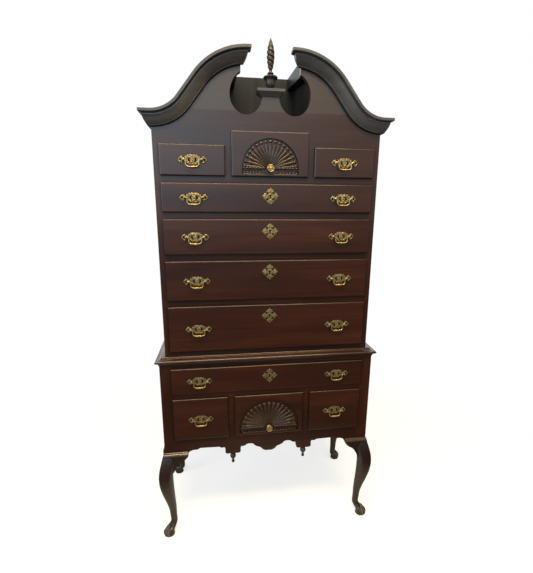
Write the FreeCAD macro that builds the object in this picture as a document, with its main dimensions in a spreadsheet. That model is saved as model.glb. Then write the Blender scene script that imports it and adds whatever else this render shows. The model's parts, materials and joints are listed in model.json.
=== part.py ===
import FreeCAD, Part

# Highboy: a chest of drawers on a cabriole-legged lower case, with a swan-neck bonnet.
# Frame: +Z up, floor at z = 0, x = 0 in the middle, y = 0 half way through the lower case,
# the drawer fronts face -Y. Lengths are millimetres and angles are degrees.

import math
import os
import re

import Sketcher
from FreeCAD import Placement, Rotation, Vector

# ---------------------------------------------------------------- driving sizes

SIZES = {
    # lower case
    "lower_width": 936, "lower_depth": 406, "leg_height": 425, "apron_height": 76,
    "small_lower_height": 186, "long_lower_height": 106, "top_rail_height": 28,
    "lower_stile": 52, "lower_centre_opening": 298, "lower_divider": 40,
    # upper case
    "front_setback": 15, "rear_setback": 8, "side_setback": 25, "upper_stile": 28,
    "base_rail_height": 43, "long_four_height": 185, "long_three_height": 153,
    "long_two_height": 130, "long_one_height": 101, "small_top_height": 103,
    "centre_top_height": 156, "top_centre_opening": 292, "top_divider": 35,
    # boards
    "rail_height": 36, "frame_thick": 22, "side_thick": 20, "back_thick": 8,
    "board_thick": 12, "guide_height": 20, "fit": 0.3,
    # drawers
    "lip_overlap": 5, "lip_thick": 9, "plug_thick": 11, "side_play": 1.5, "drawer_wall": 12,
    "drawer_floor": 8, "box_headroom": 14, "box_rear_gap": 12, "front_edge": 4,
    "top_shell_rise": 133, "top_shell_half": 112, "top_shell_base": 4,
    "lower_shell_rise": 161, "lower_shell_half": 134, "lower_shell_base": 8, "shell_depth": 6,
    # legs
    "knee_out": 31, "knee_in": 29, "knee_drop": 120, "leg_top_out": 4, "leg_top_in": 44,
    "ankle_out": -5, "ankle_in": 35, "ankle_height": 74, "foot_neck_height": 50,
    "foot_out": 25, "foot_in": 21, "foot_height": 18, "sole_inset": 4,
    "bracket_length": 103, "bracket_drop": 86, "bracket_proud": 12, "bracket_tip": 10,
    "bracket_lap": 3, "bracket_heel": 8, "bracket_toe": 9, "bracket_bend": 34,
    "bracket_bend_share": 0.45, "post_side": 32,
    # apron
    "drop_inner": 130, "drop_outer": 200, "drop_below": 22, "lobe_below": 20,
    "lobe_half": 30, "apron_shoulder": 332, "apron_lift": 12, "apron_peak": 19,
    "drop_corner": 10, "apron_flank": 18, "lobe_bend": 8, "arch_start": 58, "arch_end": 28,
    "drop_ear": 8, "drop_lead": 26, "pendant_body": 13, "pendant_ball": 5.5,
    "pendant_length": 56, "pendant_neck": 3.5,
    # mouldings
    "waist_drop": 18, "waist_rise": 16, "waist_projection": 13, "waist_bead": 6,
    "waist_cove_foot": 7, "waist_cove_top": 10, "waist_cove_height": 11,
    "shoulder_height": 63, "cornice_height": 53, "cornice_projection": 38,
    "cornice_bead": 3, "cornice_step": 9, "cornice_neck": 27, "cornice_fillet": 9,
    "lower_radius": 180, "upper_radius": 200, "scroll_turn": 52, "crown_half": 85,
    # pediment
    "opening_half": 113, "egg_centre": 93, "egg_half": 61, "egg_rise": 6,
    "egg_lower": 69, "egg_upper": 81, "neck_rise": 116, "roof_drop": 9, "roof_thick": 8,
    "well_depth": 330, "well_inset": 60, "well_half": 122, "well_rail": 24, "well_wall": 12,
    "well_splay": 10, "well_rise": 287, "rail_rear_height": 44, "rail_front_height": 58,
    "rail_fall": 83,
    # cap and finial
    "cap_lower_half": 34, "cap_half": 52, "cap_height": 26, "cap_slab": 9,
    "finial_height": 176, "finial_foot": 23, "finial_waist": 11, "finial_waist_height": 10,
    "urn_radius": 27, "urn_height": 46, "urn_rim": 6, "ring_radius": 12, "ring_height": 58,
    "flame_radius": 17, "flame_belly": 116,
    # brass
    "pull_spacing": 68, "plate_thick": 2, "plate_diamond": 17, "plate_end_shift": 3,
    "plate_centre": 17.5, "plate_lobe": 12, "plate_lobe_offset": 19, "pierce_radius": 4,
    "pierce_offset": 13, "post_radius": 4.5, "post_length": 13, "pin_radius": 2.2,
    "pin_reach": 4, "pin_standoff": 9, "bail_half": 22.5, "bail_bend": 4, "bail_drop": 26,
    "bail_corner": 9, "grip_radius": 3.5, "grip_length": 22, "bail_play": 0.4,
    "key_drop": 43, "knob_rise": 27, "escutcheon_disc": 11, "escutcheon_reach": 23,
    "escutcheon_core": 24, "key_radius": 3, "key_slot": 10,
    "knob_radius": 15, "knob_thick": 6, "knob_stem": 6, "knob_length": 14,
    "knob_foot": 10.5,
}

# Sizes that follow from the driving ones.
DERIVED = {
    "lower_half": "lower_width / 2",
    "upper_half": "lower_half - side_setback",
    "lower_front": "-lower_depth / 2",
    "lower_rear": "lower_depth / 2",
    "upper_front": "lower_front + front_setback",
    "upper_rear": "lower_rear - rear_setback",
    "small_lower_base": "leg_height + apron_height",
    "long_lower_base": "small_lower_base + small_lower_height + rail_height",
    "lower_body_top": "long_lower_base + long_lower_height + top_rail_height",
    "lower_top": "lower_body_top + board_thick",
    "long_four_base": "lower_top + base_rail_height",
    "long_three_base": "long_four_base + long_four_height + rail_height",
    "long_two_base": "long_three_base + long_three_height + rail_height",
    "long_one_base": "long_two_base + long_two_height + rail_height",
    "top_base": "long_one_base + long_one_height + rail_height",
    "pediment_base": "top_base + small_top_height",
    "shoulder": "pediment_base + shoulder_height",
    "board_offset": "cornice_height - roof_drop",
    "upper_roof": "shoulder + board_offset",
    "lower_inner": "lower_half - lower_stile",
    "upper_inner": "upper_half - upper_stile",
    "neck_top": "shoulder + neck_rise",
    "egg_height": "neck_top + egg_rise",
    "well_top": "shoulder + well_rise",
    "rail_front_base": "well_top - rail_fall",
}


def ref(text):
    """Expression text with every size name written as a cell of the sheet."""
    def expand(match):
        name = match.group()
        if name in DERIVED:
            return "(%s)" % ref(DERIVED[name])
        return "Sizes." + name
    return re.sub(r"[a-z]\w+", expand, str(text))


def val(text):
    """Number that an expression of size names gives now."""
    return float(SHEET.evalExpression(ref(text)))


def make_sheet():
    """Spreadsheet of the driving sizes, one aliased cell each."""
    sheet = DOC.addObject("Spreadsheet::Sheet", "Sizes")
    for row, (alias, number) in enumerate(SIZES.items(), start=1):
        sheet.set("A%d" % row, alias.replace("_", " "))
        sheet.set("B%d" % row, str(number))
        sheet.setAlias("B%d" % row, alias)
    DOC.recompute()
    return sheet


DOC = FreeCAD.newDocument("Highboy")
SHEET = make_sheet()
PARTS = []


# ---------------------------------------------------------------- modelling helpers

def finish(obj, label):
    """Name a finished sub-part and keep it for export."""
    obj.Label = label
    PARTS.append(obj)
    return obj


def place(obj, x="0", y="0", z="0", rotation=None):
    """Bind an object's place to expressions, after setting its turn."""
    if rotation:
        obj.Placement = Placement(Vector(), rotation)
    for axis, text in (("x", x), ("y", y), ("z", z)):
        obj.setExpression(".Placement.Base.%s" % axis, ref(text))
    return obj


def board(name, x, y, z):
    """Square board between (low, high) expressions along each axis."""
    box = DOC.addObject("Part::Box", name)
    for prop, (low, high) in (("Length", x), ("Width", y), ("Height", z)):
        box.setExpression(prop, ref("(%s) - (%s)" % (high, low)))
    return place(box, x[0], y[0], z[0])


def fuse(name, pieces):
    """Glue touching pieces into one solid."""
    joined = DOC.addObject("Part::MultiFuse", name)
    joined.Shapes = pieces
    joined.Refine = True
    return joined


def cut(name, base, tools):
    """Take tools away from a base piece."""
    tool = tools[0] if len(tools) == 1 else group(name + "_tools", tools)
    result = DOC.addObject("Part::Cut", name)
    result.Base = base
    result.Tool = tool
    result.Refine = True
    return result


def group(name, pieces):
    """Separate solids kept together in one sub-part."""
    compound = DOC.addObject("Part::Compound", name)
    compound.Links = pieces
    return compound


FORWARD = Rotation(Vector(1, 0, 0), 90)       # local +Z looks along -Y
SIDEWAYS = Rotation(Vector(0, 1, 0), 90)      # local +Z looks along +X


def rod(name, radius, length, x, y, z, turn=FORWARD):
    """Cylinder that starts at (x, y, z) and runs along the turned +Z."""
    cylinder = DOC.addObject("Part::Cylinder", name)
    cylinder.setExpression("Radius", ref(radius))
    cylinder.setExpression("Height", ref(length))
    return place(cylinder, x, y, z, turn)


def diamond(name, radius, length, x, y, z):
    """Four-cornered prism that points along -Y, corners up, down and sideways."""
    prism = DOC.addObject("Part::Prism", name)
    prism.Polygon = 4
    prism.setExpression("Circumradius", ref(radius))
    prism.setExpression("Height", ref(length))
    return place(prism, x, y, z, FORWARD)


def new_body(name):
    """Empty PartDesign body."""
    return DOC.addObject("PartDesign::Body", name)


def new_sketch(body, name, plane, offset="0"):
    """Sketch on one of the body's origin planes, moved along its normal."""
    sketch = body.newObject("Sketcher::SketchObject", name)
    support = next(item for item in body.Origin.OriginFeatures if item.Role == plane)
    sketch.AttachmentSupport = [(support, "")]
    sketch.MapMode = "FlatFace"
    sketch.setExpression("AttachmentOffset.Base.z", ref(offset))
    return sketch


def bind(sketch, kind, geometry, point, name, text):
    """Dimension from the sketch origin to a point, bound to an expression."""
    number = val(text)
    sketch.addConstraint(Sketcher.Constraint(kind, -1, 1, geometry, point, number))
    sketch.renameConstraint(sketch.ConstraintCount - 1, name)
    sketch.setExpression("Constraints." + name, ref(text))


def rectangle(body, name, plane, offset, across, up):
    """Sketch of a rectangle between (low, high) expressions each way."""
    sketch = new_sketch(body, name, plane, offset)
    low = Vector(val(across[0]), val(up[0]), 0)
    high = Vector(val(across[1]), val(up[1]), 0)
    corners = [low, Vector(high.x, low.y, 0), high, Vector(low.x, high.y, 0)]
    for index in range(4):
        sketch.addGeometry(Part.LineSegment(corners[index], corners[(index + 1) % 4]), False)
    for index in range(4):
        sketch.addConstraint(Sketcher.Constraint("Coincident", index, 2, (index + 1) % 4, 1))
        kind = ("Horizontal", "Vertical")[index % 2]
        sketch.addConstraint(Sketcher.Constraint(kind, index))
    bind(sketch, "DistanceX", 0, 1, "left", across[0])
    bind(sketch, "DistanceX", 0, 2, "right", across[1])
    bind(sketch, "DistanceY", 0, 1, "bottom", up[0])
    bind(sketch, "DistanceY", 1, 2, "top", up[1])
    return sketch


def polygon(body, name, plane, offset, corners):
    """Sketch of a closed polygon whose corners are pairs of expressions."""
    sketch = new_sketch(body, name, plane, offset)
    points = [Vector(val(u), val(v), 0) for u, v in corners]
    count = len(points)
    for index in range(count):
        sketch.addGeometry(Part.LineSegment(points[index], points[(index + 1) % count]), False)
    for index, (u, v) in enumerate(corners):
        sketch.addConstraint(Sketcher.Constraint("Coincident", index, 2, (index + 1) % count, 1))
        bind(sketch, "DistanceX", index, 1, "across%d" % index, u)
        bind(sketch, "DistanceY", index, 1, "up%d" % index, v)
    return sketch


def outline(body, name, plane, offset, curves):
    """Sketch of joined curves that are already worked out from the sizes."""
    sketch = new_sketch(body, name, plane, offset)
    for curve in curves:
        sketch.addGeometry(curve, False)
    return sketch


def circle(body, name, plane, offset, across, up, radius):
    """Sketch of a circle with a bound centre and radius."""
    sketch = new_sketch(body, name, plane, offset)
    centre = Vector(val(across), val(up), 0)
    sketch.addGeometry(Part.Circle(centre, Vector(0, 0, 1), val(radius)), False)
    bind(sketch, "DistanceX", 0, 3, "across", across)
    bind(sketch, "DistanceY", 0, 3, "up", up)
    sketch.addConstraint(Sketcher.Constraint("Radius", 0, val(radius)))
    sketch.renameConstraint(sketch.ConstraintCount - 1, "radius")
    sketch.setExpression("Constraints.radius", ref(radius))
    return sketch


def pad(body, sketch, length, reverse=False):
    """Material along the sketch's normal, or against it."""
    feature = body.newObject("PartDesign::Pad", sketch.Name + "_pad")
    feature.Profile = sketch
    feature.Reversed = reverse
    feature.setExpression("Length", ref(length))
    return feature


def pocket(body, sketch, length, reverse=False):
    """Cut against the sketch's normal, or along it."""
    feature = body.newObject("PartDesign::Pocket", sketch.Name + "_pocket")
    feature.Profile = sketch
    feature.Reversed = reverse
    feature.setExpression("Length", ref(length))
    return feature


def revolve(body, sketch):
    """Turn a half profile about the sketch's vertical axis."""
    feature = body.newObject("PartDesign::Revolution", sketch.Name + "_turned")
    feature.Profile = sketch
    feature.ReferenceAxis = (sketch, ["V_Axis"])
    feature.Angle = 360
    return feature


def line(start, end):
    """Straight between two flat points."""
    return Part.LineSegment(Vector(*start, 0), Vector(*end, 0))


def arc(start, middle, end):
    """Arc through three flat points."""
    return Part.Arc(Vector(*start, 0), Vector(*middle, 0), Vector(*end, 0))


def chain(points, bulge):
    """Curves through points: a straight where the bulge is 0, else an arc that swells left."""
    curves = []
    for start, end, swell in zip(points, points[1:], bulge):
        if swell == 0:
            curves.append(line(start, end))
            continue
        across = (end[0] - start[0], end[1] - start[1])
        middle = ((start[0] + end[0]) / 2 - across[1] * swell,
                  (start[1] + end[1]) / 2 + across[0] * swell)
        curves.append(arc(start, middle, end))
    return curves


def turned(curves):
    """The same half profile with its arcs as splines, which turn well close to the axis."""
    return [curve if isinstance(curve, Part.LineSegment) else curve.toBSpline()
            for curve in curves]


# ---------------------------------------------------------------- drawers

UPPER_LONG = ("-upper_inner", "upper_inner")
LOWER_LONG = ("-lower_inner", "lower_inner")
TOP_CENTRE = ("-top_centre_opening / 2", "top_centre_opening / 2")
TOP_RIGHT = ("top_centre_opening / 2 + top_divider", "upper_inner")
LOWER_CENTRE = ("-lower_centre_opening / 2", "lower_centre_opening / 2")
LOWER_RIGHT = ("lower_centre_opening / 2 + lower_divider", "lower_inner")


def mirrored(span):
    """The same span on the other side of x = 0."""
    return ("-(%s)" % span[1], "-(%s)" % span[0])


# name: (across, base, height, which case, kind)
DRAWERS = {
    "long_1": (UPPER_LONG, "long_one_base", "long_one_height", "upper", "long"),
    "long_2": (UPPER_LONG, "long_two_base", "long_two_height", "upper", "long"),
    "long_3": (UPPER_LONG, "long_three_base", "long_three_height", "upper", "long"),
    "long_4": (UPPER_LONG, "long_four_base", "long_four_height", "upper", "long"),
    "lower_long": (LOWER_LONG, "long_lower_base", "long_lower_height", "lower", "long"),
    "top_left": (mirrored(TOP_RIGHT), "top_base", "small_top_height", "upper", "small"),
    "top_right": (TOP_RIGHT, "top_base", "small_top_height", "upper", "small"),
    "lower_left": (mirrored(LOWER_RIGHT), "small_lower_base", "small_lower_height", "lower",
                   "small"),
    "lower_right": (LOWER_RIGHT, "small_lower_base", "small_lower_height", "lower", "small"),
    "top_shell": (TOP_CENTRE, "top_base", "centre_top_height", "upper", "shell"),
    "lower_shell": (LOWER_CENTRE, "small_lower_base", "small_lower_height", "lower", "shell"),
}


def drawer_front(body, across, base, height, front):
    """Lipped front: the lip covers the opening's edge, the plug fits inside it."""
    lip = rectangle(body, body.Name + "_lip", "XZ_Plane", "-(%s)" % front,
                    ("%s - lip_overlap" % across[0], "%s + lip_overlap" % across[1]),
                    ("%s - lip_overlap" % base, "%s + %s + lip_overlap" % (base, height)))
    lip_pad = pad(body, lip, "lip_thick")
    plug = rectangle(body, body.Name + "_plug", "XZ_Plane", "-(%s)" % front,
                     ("%s + side_play" % across[0], "%s - side_play" % across[1]),
                     ("%s + fit" % base, "%s + %s - side_play" % (base, height)))
    DOC.recompute()
    thumbnail = body.newObject("PartDesign::Fillet", body.Name + "_thumbnail")
    front_face = min(range(len(lip_pad.Shape.Faces)),
                     key=lambda index: lip_pad.Shape.Faces[index].CenterOfMass.y)
    thumbnail.Base = (lip_pad, ["Face%d" % (front_face + 1)])
    thumbnail.setExpression("Radius", ref("front_edge"))
    pad(body, plug, "plug_thick", reverse=True)


def drawer_box(body, across, base, height, front, rear):
    """Sides, back and bottom behind the front, open at the top."""
    start = "%s + plug_thick" % front
    length = "%s - back_thick - box_rear_gap - (%s)" % (rear, start)
    left = "%s + side_play" % across[0]
    right = "%s - side_play" % across[1]
    floor = "%s + fit" % base
    top = "%s + %s - box_headroom" % (base, height)
    case = rectangle(body, body.Name + "_case", "XZ_Plane", "-(%s)" % start,
                     (left, right), (floor, top))
    pad(body, case, length, reverse=True)
    hollow = rectangle(body, body.Name + "_hollow", "XY_Plane", top,
                       (left + " + drawer_wall", right + " - drawer_wall"),
                       (start, "%s + %s - drawer_wall" % (start, length)))
    pocket(body, hollow, "%s - box_headroom - drawer_floor - fit" % height)


def shell_recess(body, name, across, base, front):
    """Arched hollow in a front, where the shell is carved."""
    middle = "(%s + %s) / 2" % across
    foot = val("%s + %s_base" % (base, name))
    half = val(name + "_half")
    rise = val(name + "_rise")
    spring = foot + rise - half
    centre = val(middle)
    points = [(centre - half, foot), (centre + half, foot), (centre + half, spring)]
    curves = chain(points, (0, 0))
    curves.append(arc(points[2], (centre, spring + half), (centre - half, spring)))
    curves.append(line((centre - half, spring), points[0]))
    recess = outline(body, body.Name + "_arch", "XZ_Plane", "-(%s) + lip_thick" % front, curves)
    pocket(body, recess, "shell_depth")


def make_drawers():
    """Each drawer: a front and a box, in one piece or, where it is carved, in two."""
    for name, (across, base, height, case, kind) in DRAWERS.items():
        front, rear = case + "_front", case + "_rear"
        body = new_body("drawer_" + name)
        drawer_front(body, across, base, height, front)
        if kind == "shell":
            shell_recess(body, name, across, base, front)
            finish(body, "drawer_%s_front" % name)
            body = new_body("drawer_%s_box" % name)
            drawer_box(body, across, base, height, front, rear)
            finish(body, "drawer_%s_box" % name)
        else:
            drawer_box(body, across, base, height, front, rear)
            finish(body, "drawer_" + name)


# ---------------------------------------------------------------- brass

def pull_places(name):
    """(x, z) expressions of the pulls on a drawer."""
    across, base, height, _, kind = DRAWERS[name]
    level = "%s + %s / 2" % (base, height)
    if kind == "small":
        return [("(%s + %s) / 2" % across, level)]
    column = DRAWERS["top_right" if DRAWERS[name][3] == "upper" else "lower_right"][0]
    middle = "(%s + %s) / 2" % column
    return [("-(%s)" % middle, level), (middle, level)]


def face_of(name):
    """y expression of a drawer's front face."""
    return DRAWERS[name][3] + "_front - lip_thick"


def pull_plate(name, x, face, z):
    """Shaped back plate with two pierced lights and two posts with eyes for the bail."""
    left, right = "%s - pull_spacing / 2" % x, "%s + pull_spacing / 2" % x
    solids = [rod(name + "_centre", "plate_centre", "plate_thick", x, face, z)]
    for side, sign, post_x in (("l", "-", left), ("r", "+", right)):
        lobe_x = "%s %s plate_lobe_offset" % (x, sign)
        solids.append(rod(name + "_lobe_" + side, "plate_lobe", "plate_thick", lobe_x, face, z))
        solids.append(diamond(name + "_end_" + side, "plate_diamond", "plate_thick",
                              "%s %s plate_end_shift" % (post_x, sign), face, z))
        solids.append(rod(name + "_post_" + side, "post_radius", "plate_thick + post_length",
                          post_x, face, z))
    holes = []
    for side, sign in (("l", "-"), ("r", "+")):
        holes.append(rod(name + "_light_" + side, "pierce_radius", "2 * plate_thick",
                         "%s %s pierce_offset" % (x, sign), face + " + plate_thick / 2", z))
        start = "%s - pull_spacing / 2 - pin_reach - bail_play" % x
        if sign == "+":
            start = "%s + pull_spacing / 2 - 2 * post_radius" % x
        holes.append(rod(name + "_eye_" + side, "pin_radius + bail_play",
                         "2 * post_radius + pin_reach + bail_play", start,
                         face + " - plate_thick - pin_standoff", z, SIDEWAYS))
    return cut(name, fuse(name + "_blank", solids), holes)


def escutcheon(name, x, face, z):
    """Quatrefoil key plate with a keyhole."""
    solids = [diamond(name + "_core", "escutcheon_core", "plate_thick", x, face, z)]
    for side, shift_x, shift_z in (("l", "- escutcheon_reach", ""), ("r", "+ escutcheon_reach", ""),
                                   ("b", "", "- escutcheon_reach"), ("t", "", "+ escutcheon_reach")):
        solids.append(rod("%s_%s" % (name, side), "escutcheon_disc", "plate_thick",
                          "%s %s" % (x, shift_x), face, "%s %s" % (z, shift_z)))
    behind = face + " + plate_thick / 2"
    hole = rod(name + "_key", "key_radius", "2 * plate_thick", x, behind, z)
    slot = board(name + "_slot", ("%s - key_radius / 2" % x, "%s + key_radius / 2" % x),
                 ("%s - 2 * plate_thick" % behind, behind), ("%s - key_slot" % z, z))
    return cut(name, fuse(name + "_blank", solids), [hole, slot])


def knob(name, x, face, z):
    """Round rosette knob on a stem."""
    stem = rod(name + "_stem", "knob_stem", "knob_length", x, face, z)
    rose = rod(name + "_rose", "knob_radius", "knob_thick", x, face + " - knob_length", z)
    foot = rod(name + "_foot", "knob_foot", "plate_thick", x, face, z)
    return fuse(name, [stem, rose, foot])


def bail(name, x, face, z):
    """Swinging handle: pins in the post eyes, two arms and a thicker grip."""
    body = new_body(name)
    reach = val("pull_spacing / 2 + pin_reach")
    half, bend, drop, corner = (val(key) for key in
                                ("bail_half", "bail_bend", "bail_drop", "bail_corner"))
    slant = 1 - math.sqrt(0.5)
    right = [(reach, 0), (half + bend, 0), (half, -bend), (half, corner - drop),
             (half - corner, -drop)]
    curves = [line(right[0], right[1]),
              arc(right[1], (half + bend * slant, -bend * slant), right[2]),
              line(right[2], right[3]),
              arc(right[3], (half - corner * slant, corner * slant - drop), right[4])]
    left = [(-u, v) for u, v in right]
    curves.append(line(right[4], left[4]))
    curves.append(arc(left[4], (corner * slant - half, corner * slant - drop), left[3]))
    curves.append(line(left[3], left[2]))
    curves.append(arc(left[2], (-half - bend * slant, -bend * slant), left[1]))
    curves.append(line(left[1], left[0]))
    path = outline(body, name + "_path", "XZ_Plane", "0", curves)
    section = circle(body, name + "_section", "YZ_Plane", "pull_spacing / 2 + pin_reach",
                     "0", "0", "pin_radius")
    wire = body.newObject("PartDesign::AdditivePipe", name + "_wire")
    wire.Profile = section
    wire.Spine = path
    grip = circle(body, name + "_grip", "YZ_Plane", "-grip_length / 2", "0", "-bail_drop",
                  "grip_radius")
    pad(body, grip, "grip_length")
    return place(body, x, "%s - plate_thick - pin_standoff" % face, z)


def make_brass():
    """Plates and key plates stay with their drawer, and each bail swings by itself."""
    for name, (across, base, height, _, kind) in DRAWERS.items():
        face = face_of(name)
        middle = "(%s + %s) / 2" % across
        if kind == "shell":
            in_recess = val("knob_rise - knob_foot - %s_base" % name) > 0
            seat = face + " + shell_depth" if in_recess else face
            finish(knob("knob_" + name, middle, seat, "%s + knob_rise" % base), "knob_" + name)
            continue
        fixed = []
        places = pull_places(name)
        for side, (x, z) in zip(("left", "right") if len(places) == 2 else ("single",), places):
            suffix = name if side == "single" else "%s_%s" % (name, side)
            fixed.append(pull_plate("plate_" + suffix, x, face, z))
            finish(bail("bail_" + suffix, x, face, z), "bail_" + suffix)
        if kind == "long":
            fixed.append(escutcheon("key_plate_" + name, middle, face,
                                    "%s + %s - key_drop" % (base, height)))
        finish(group("brass_" + name, fixed), "brass_" + name)


# ---------------------------------------------------------------- case frames and boards

def opening(name):
    """Hole through a face frame for one drawer."""
    across, base, height, case, _ = DRAWERS[name]
    return board("opening_" + name, across,
                 (case + "_front - frame_thick", case + "_front + 2 * frame_thick"),
                 (base, "%s + %s" % (base, height)))


def make_upper_frame():
    """Stiles, rails and dividers at the front of the upper case."""
    blank = board("upper_frame_blank", ("-upper_half", "upper_half"),
                  ("upper_front", "upper_front + frame_thick"), ("lower_top", "pediment_base"))
    names = ("long_1", "long_2", "long_3", "long_4", "top_left", "top_right", "top_shell")
    finish(cut("upper_frame", blank, [opening(name) for name in names]), "upper_frame")


def apron_curves():
    """Lower edge of the face frame, from the left stile to the right one."""
    edge = val("leg_height")
    drop = edge - val("drop_below")
    lobe = edge - val("lobe_below")
    peak = edge + val("apron_peak")
    lift = edge + val("apron_lift")
    inner, outer, shoulder = val("drop_inner"), val("drop_outer"), val("apron_shoulder")
    half, corner = val("lobe_half"), val("drop_corner")
    flank, bend, ear, lead = (val(name) for name in ("apron_flank", "lobe_bend", "drop_ear",
                                                     "drop_lead"))
    arch_start, arch_end = inner - val("arch_start"), inner - val("arch_end")
    stile = val("lower_half - bracket_length")
    wide = val("lower_half")
    # right half, from the middle outwards
    right = [(0, lobe), (half, lobe + bend), (half + flank, edge + 2), (arch_start, peak),
             (arch_end, peak + 1), (inner - 2, lift), (inner, edge), (inner, drop + corner),
             (inner + corner, drop), (outer - corner, drop), (outer, drop + corner),
             (outer, lift - ear / 2), (outer + ear, lift), (outer + lead, peak - 2),
             (shoulder - flank, peak), (shoulder, lift), (stile, edge), (wide, edge)]
    bulge = [-0.12, 0.1, -0.1, 0.08, -0.15, 0, 0, -0.2, 0, -0.2, 0, 0.2, -0.15, 0, -0.15, 0.1, 0]
    left = [(-u, v) for u, v in right[:0:-1]]
    return left + right, bulge[::-1] + bulge


def make_lower_frame():
    """Stiles, rails, dividers and the shaped apron at the front of the lower case."""
    body = new_body("apron_panel")
    points, bulge = apron_curves()
    curves = chain(points, bulge)
    top = val("lower_body_top")
    wide = val("lower_half")
    corners = [points[-1], (wide, top), (-wide, top), points[0]]
    curves += chain(corners, (0, 0, 0))
    face = outline(body, "apron_outline", "XZ_Plane", "-(lower_front)", curves)
    pad(body, face, "frame_thick", reverse=True)
    names = ("lower_long", "lower_left", "lower_right", "lower_shell")
    finish(cut("lower_frame", body, [opening(name) for name in names]), "lower_frame")


def dust_board(name, case, level, gaps):
    """Board under a row of drawers, with guides in the gaps between and beside them."""
    inner = "%s_half - side_thick" % case
    front = "%s_front + frame_thick" % case
    rear = "%s_rear - back_thick" % case
    pieces = [board(name + "_board", ("-(%s)" % inner, inner), (front, rear),
                    ("%s - board_thick" % level, level))]
    for index, across in enumerate(gaps):
        pieces.append(board("%s_guide_%d" % (name, index), across, (front, rear),
                            (level, "%s + guide_height" % level)))
    return fuse(name, pieces)


def side_gaps(case):
    """Spaces between the case sides and the drawers."""
    right = ("%s_inner" % case, "%s_half - side_thick" % case)
    return [mirrored(right), right]


def divider_gaps(opening_width, divider):
    """Spaces between the centre drawer and its neighbours."""
    right = ("%s / 2" % opening_width, "%s / 2 + %s" % (opening_width, divider))
    return [mirrored(right), right]


def make_dust_boards():
    """Horizontal boards of both cases, each group in one sub-part."""
    upper = [dust_board("dust_" + name, "upper", name + "_base", side_gaps("upper"))
             for name in ("long_one", "long_two", "long_three", "long_four")]
    upper.append(dust_board("dust_top", "upper", "top_base", side_gaps("upper")
                            + divider_gaps("top_centre_opening", "top_divider")))
    upper.append(board("upper_top", ("-upper_half", "upper_half"),
                       ("upper_front + frame_thick", "upper_rear"),
                       ("upper_roof - board_thick", "upper_roof")))
    finish(group("upper_dust_boards", upper), "upper_dust_boards")
    lower = [dust_board("dust_lower_long", "lower", "long_lower_base", side_gaps("lower")),
             dust_board("dust_lower_small", "lower", "small_lower_base", side_gaps("lower")
                        + divider_gaps("lower_centre_opening", "lower_divider")),
             board("lower_top_board", ("-lower_half", "lower_half"),
                   ("lower_front", "lower_rear"), ("lower_body_top", "lower_top"))]
    finish(group("lower_dust_boards", lower), "lower_dust_boards")


def make_sides_and_backs():
    """Solid sides and inset backs of both cases."""
    depth = ("upper_front + frame_thick", "upper_rear")
    rise = ("lower_top", "upper_roof - board_thick")
    right = ("upper_half - side_thick", "upper_half")
    finish(board("upper_side_right", right, depth, rise), "upper_side_right")
    finish(board("upper_side_left", mirrored(right), depth, rise), "upper_side_left")
    finish(board("upper_back", ("-upper_half + side_thick", "upper_half - side_thick"),
                 ("upper_rear - back_thick", "upper_rear"), rise), "upper_back")
    depth = ("lower_front + frame_thick", "lower_rear")
    rise = ("leg_height", "lower_body_top")
    right = ("lower_half - side_thick", "lower_half")
    sides = [board("lower_side_right", right, depth, rise),
             board("lower_side_left", mirrored(right), depth, rise)]
    finish(group("lower_sides", sides), "lower_sides")
    finish(board("lower_back", ("-lower_half + side_thick", "lower_half - side_thick"),
                 ("lower_rear - back_thick", "lower_rear"), rise), "lower_back")


# ---------------------------------------------------------------- legs and pendants

def blend(start, end, share):
    """Smooth step from start to end."""
    return start + (end - start) * (1 - math.cos(math.pi * share)) / 2


def leg_stations():
    """(height, inner, outer, roundness) of the leg's sections, outward from the case corner."""
    top, knee = val("leg_height"), val("leg_height - knee_drop")
    ankle, neck, foot = val("ankle_height"), val("foot_neck_height"), val("foot_height")
    top_in, top_out = -val("leg_top_in"), val("leg_top_out")
    knee_in, knee_out = -val("knee_in"), val("knee_out")
    ankle_in, ankle_out = -val("ankle_in"), val("ankle_out")
    foot_in, foot_out, inset = -val("foot_in"), val("foot_out"), val("sole_inset")
    stations = []
    for share in (0, 0.12, 0.3, 0.55, 0.8, 1):
        swell = math.sin(math.pi / 2 * share)
        stations.append((top + (knee - top) * share, blend(top_in, knee_in, share),
                         top_out + (knee_out - top_out) * swell, 0.2 + 0.1 * share))
    for share in (0.2, 0.4, 0.6, 0.8, 1):
        stations.append((knee + (ankle - knee) * share, blend(knee_in, ankle_in, share),
                         blend(knee_out, ankle_out, share), 0.3 + 0.17 * share))
    stations.append((neck, ankle_in, ankle_out + 1, 0.47))
    for share in (0.3, 0.6, 1):
        stations.append((neck + (foot - neck) * share, blend(ankle_in, foot_in, share),
                         blend(ankle_out, foot_out, share), 0.46))
    stations.append((foot / 3, foot_in, foot_out, 0.46))
    stations.append((0, foot_in - inset / 2, foot_out - inset, 0.46))
    return stations


def rounded_square(low, high, roundness):
    """Eight curves of a square from (low, low) to (high, high) with round corners."""
    radius = (high - low) * roundness
    slant = radius * (1 - math.sqrt(0.5))
    curves = []
    corners = [(high, low), (high, high), (low, high), (low, low)]
    ways = [(0, 1), (-1, 0), (0, -1), (1, 0)]
    for index, (corner, way) in enumerate(zip(corners, ways)):
        before = ways[index - 1]
        begin = (corner[0] - before[0] * radius, corner[1] - before[1] * radius)
        end = (corner[0] + way[0] * radius, corner[1] + way[1] * radius)
        middle = (corner[0] + (way[0] - before[0]) * slant,
                  corner[1] + (way[1] - before[1]) * slant)
        curves.append(arc(begin, middle, end))
        onward = corners[(index + 1) % 4]
        curves.append(line(end, (onward[0] - way[0] * radius, onward[1] - way[1] * radius)))
    return curves


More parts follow.
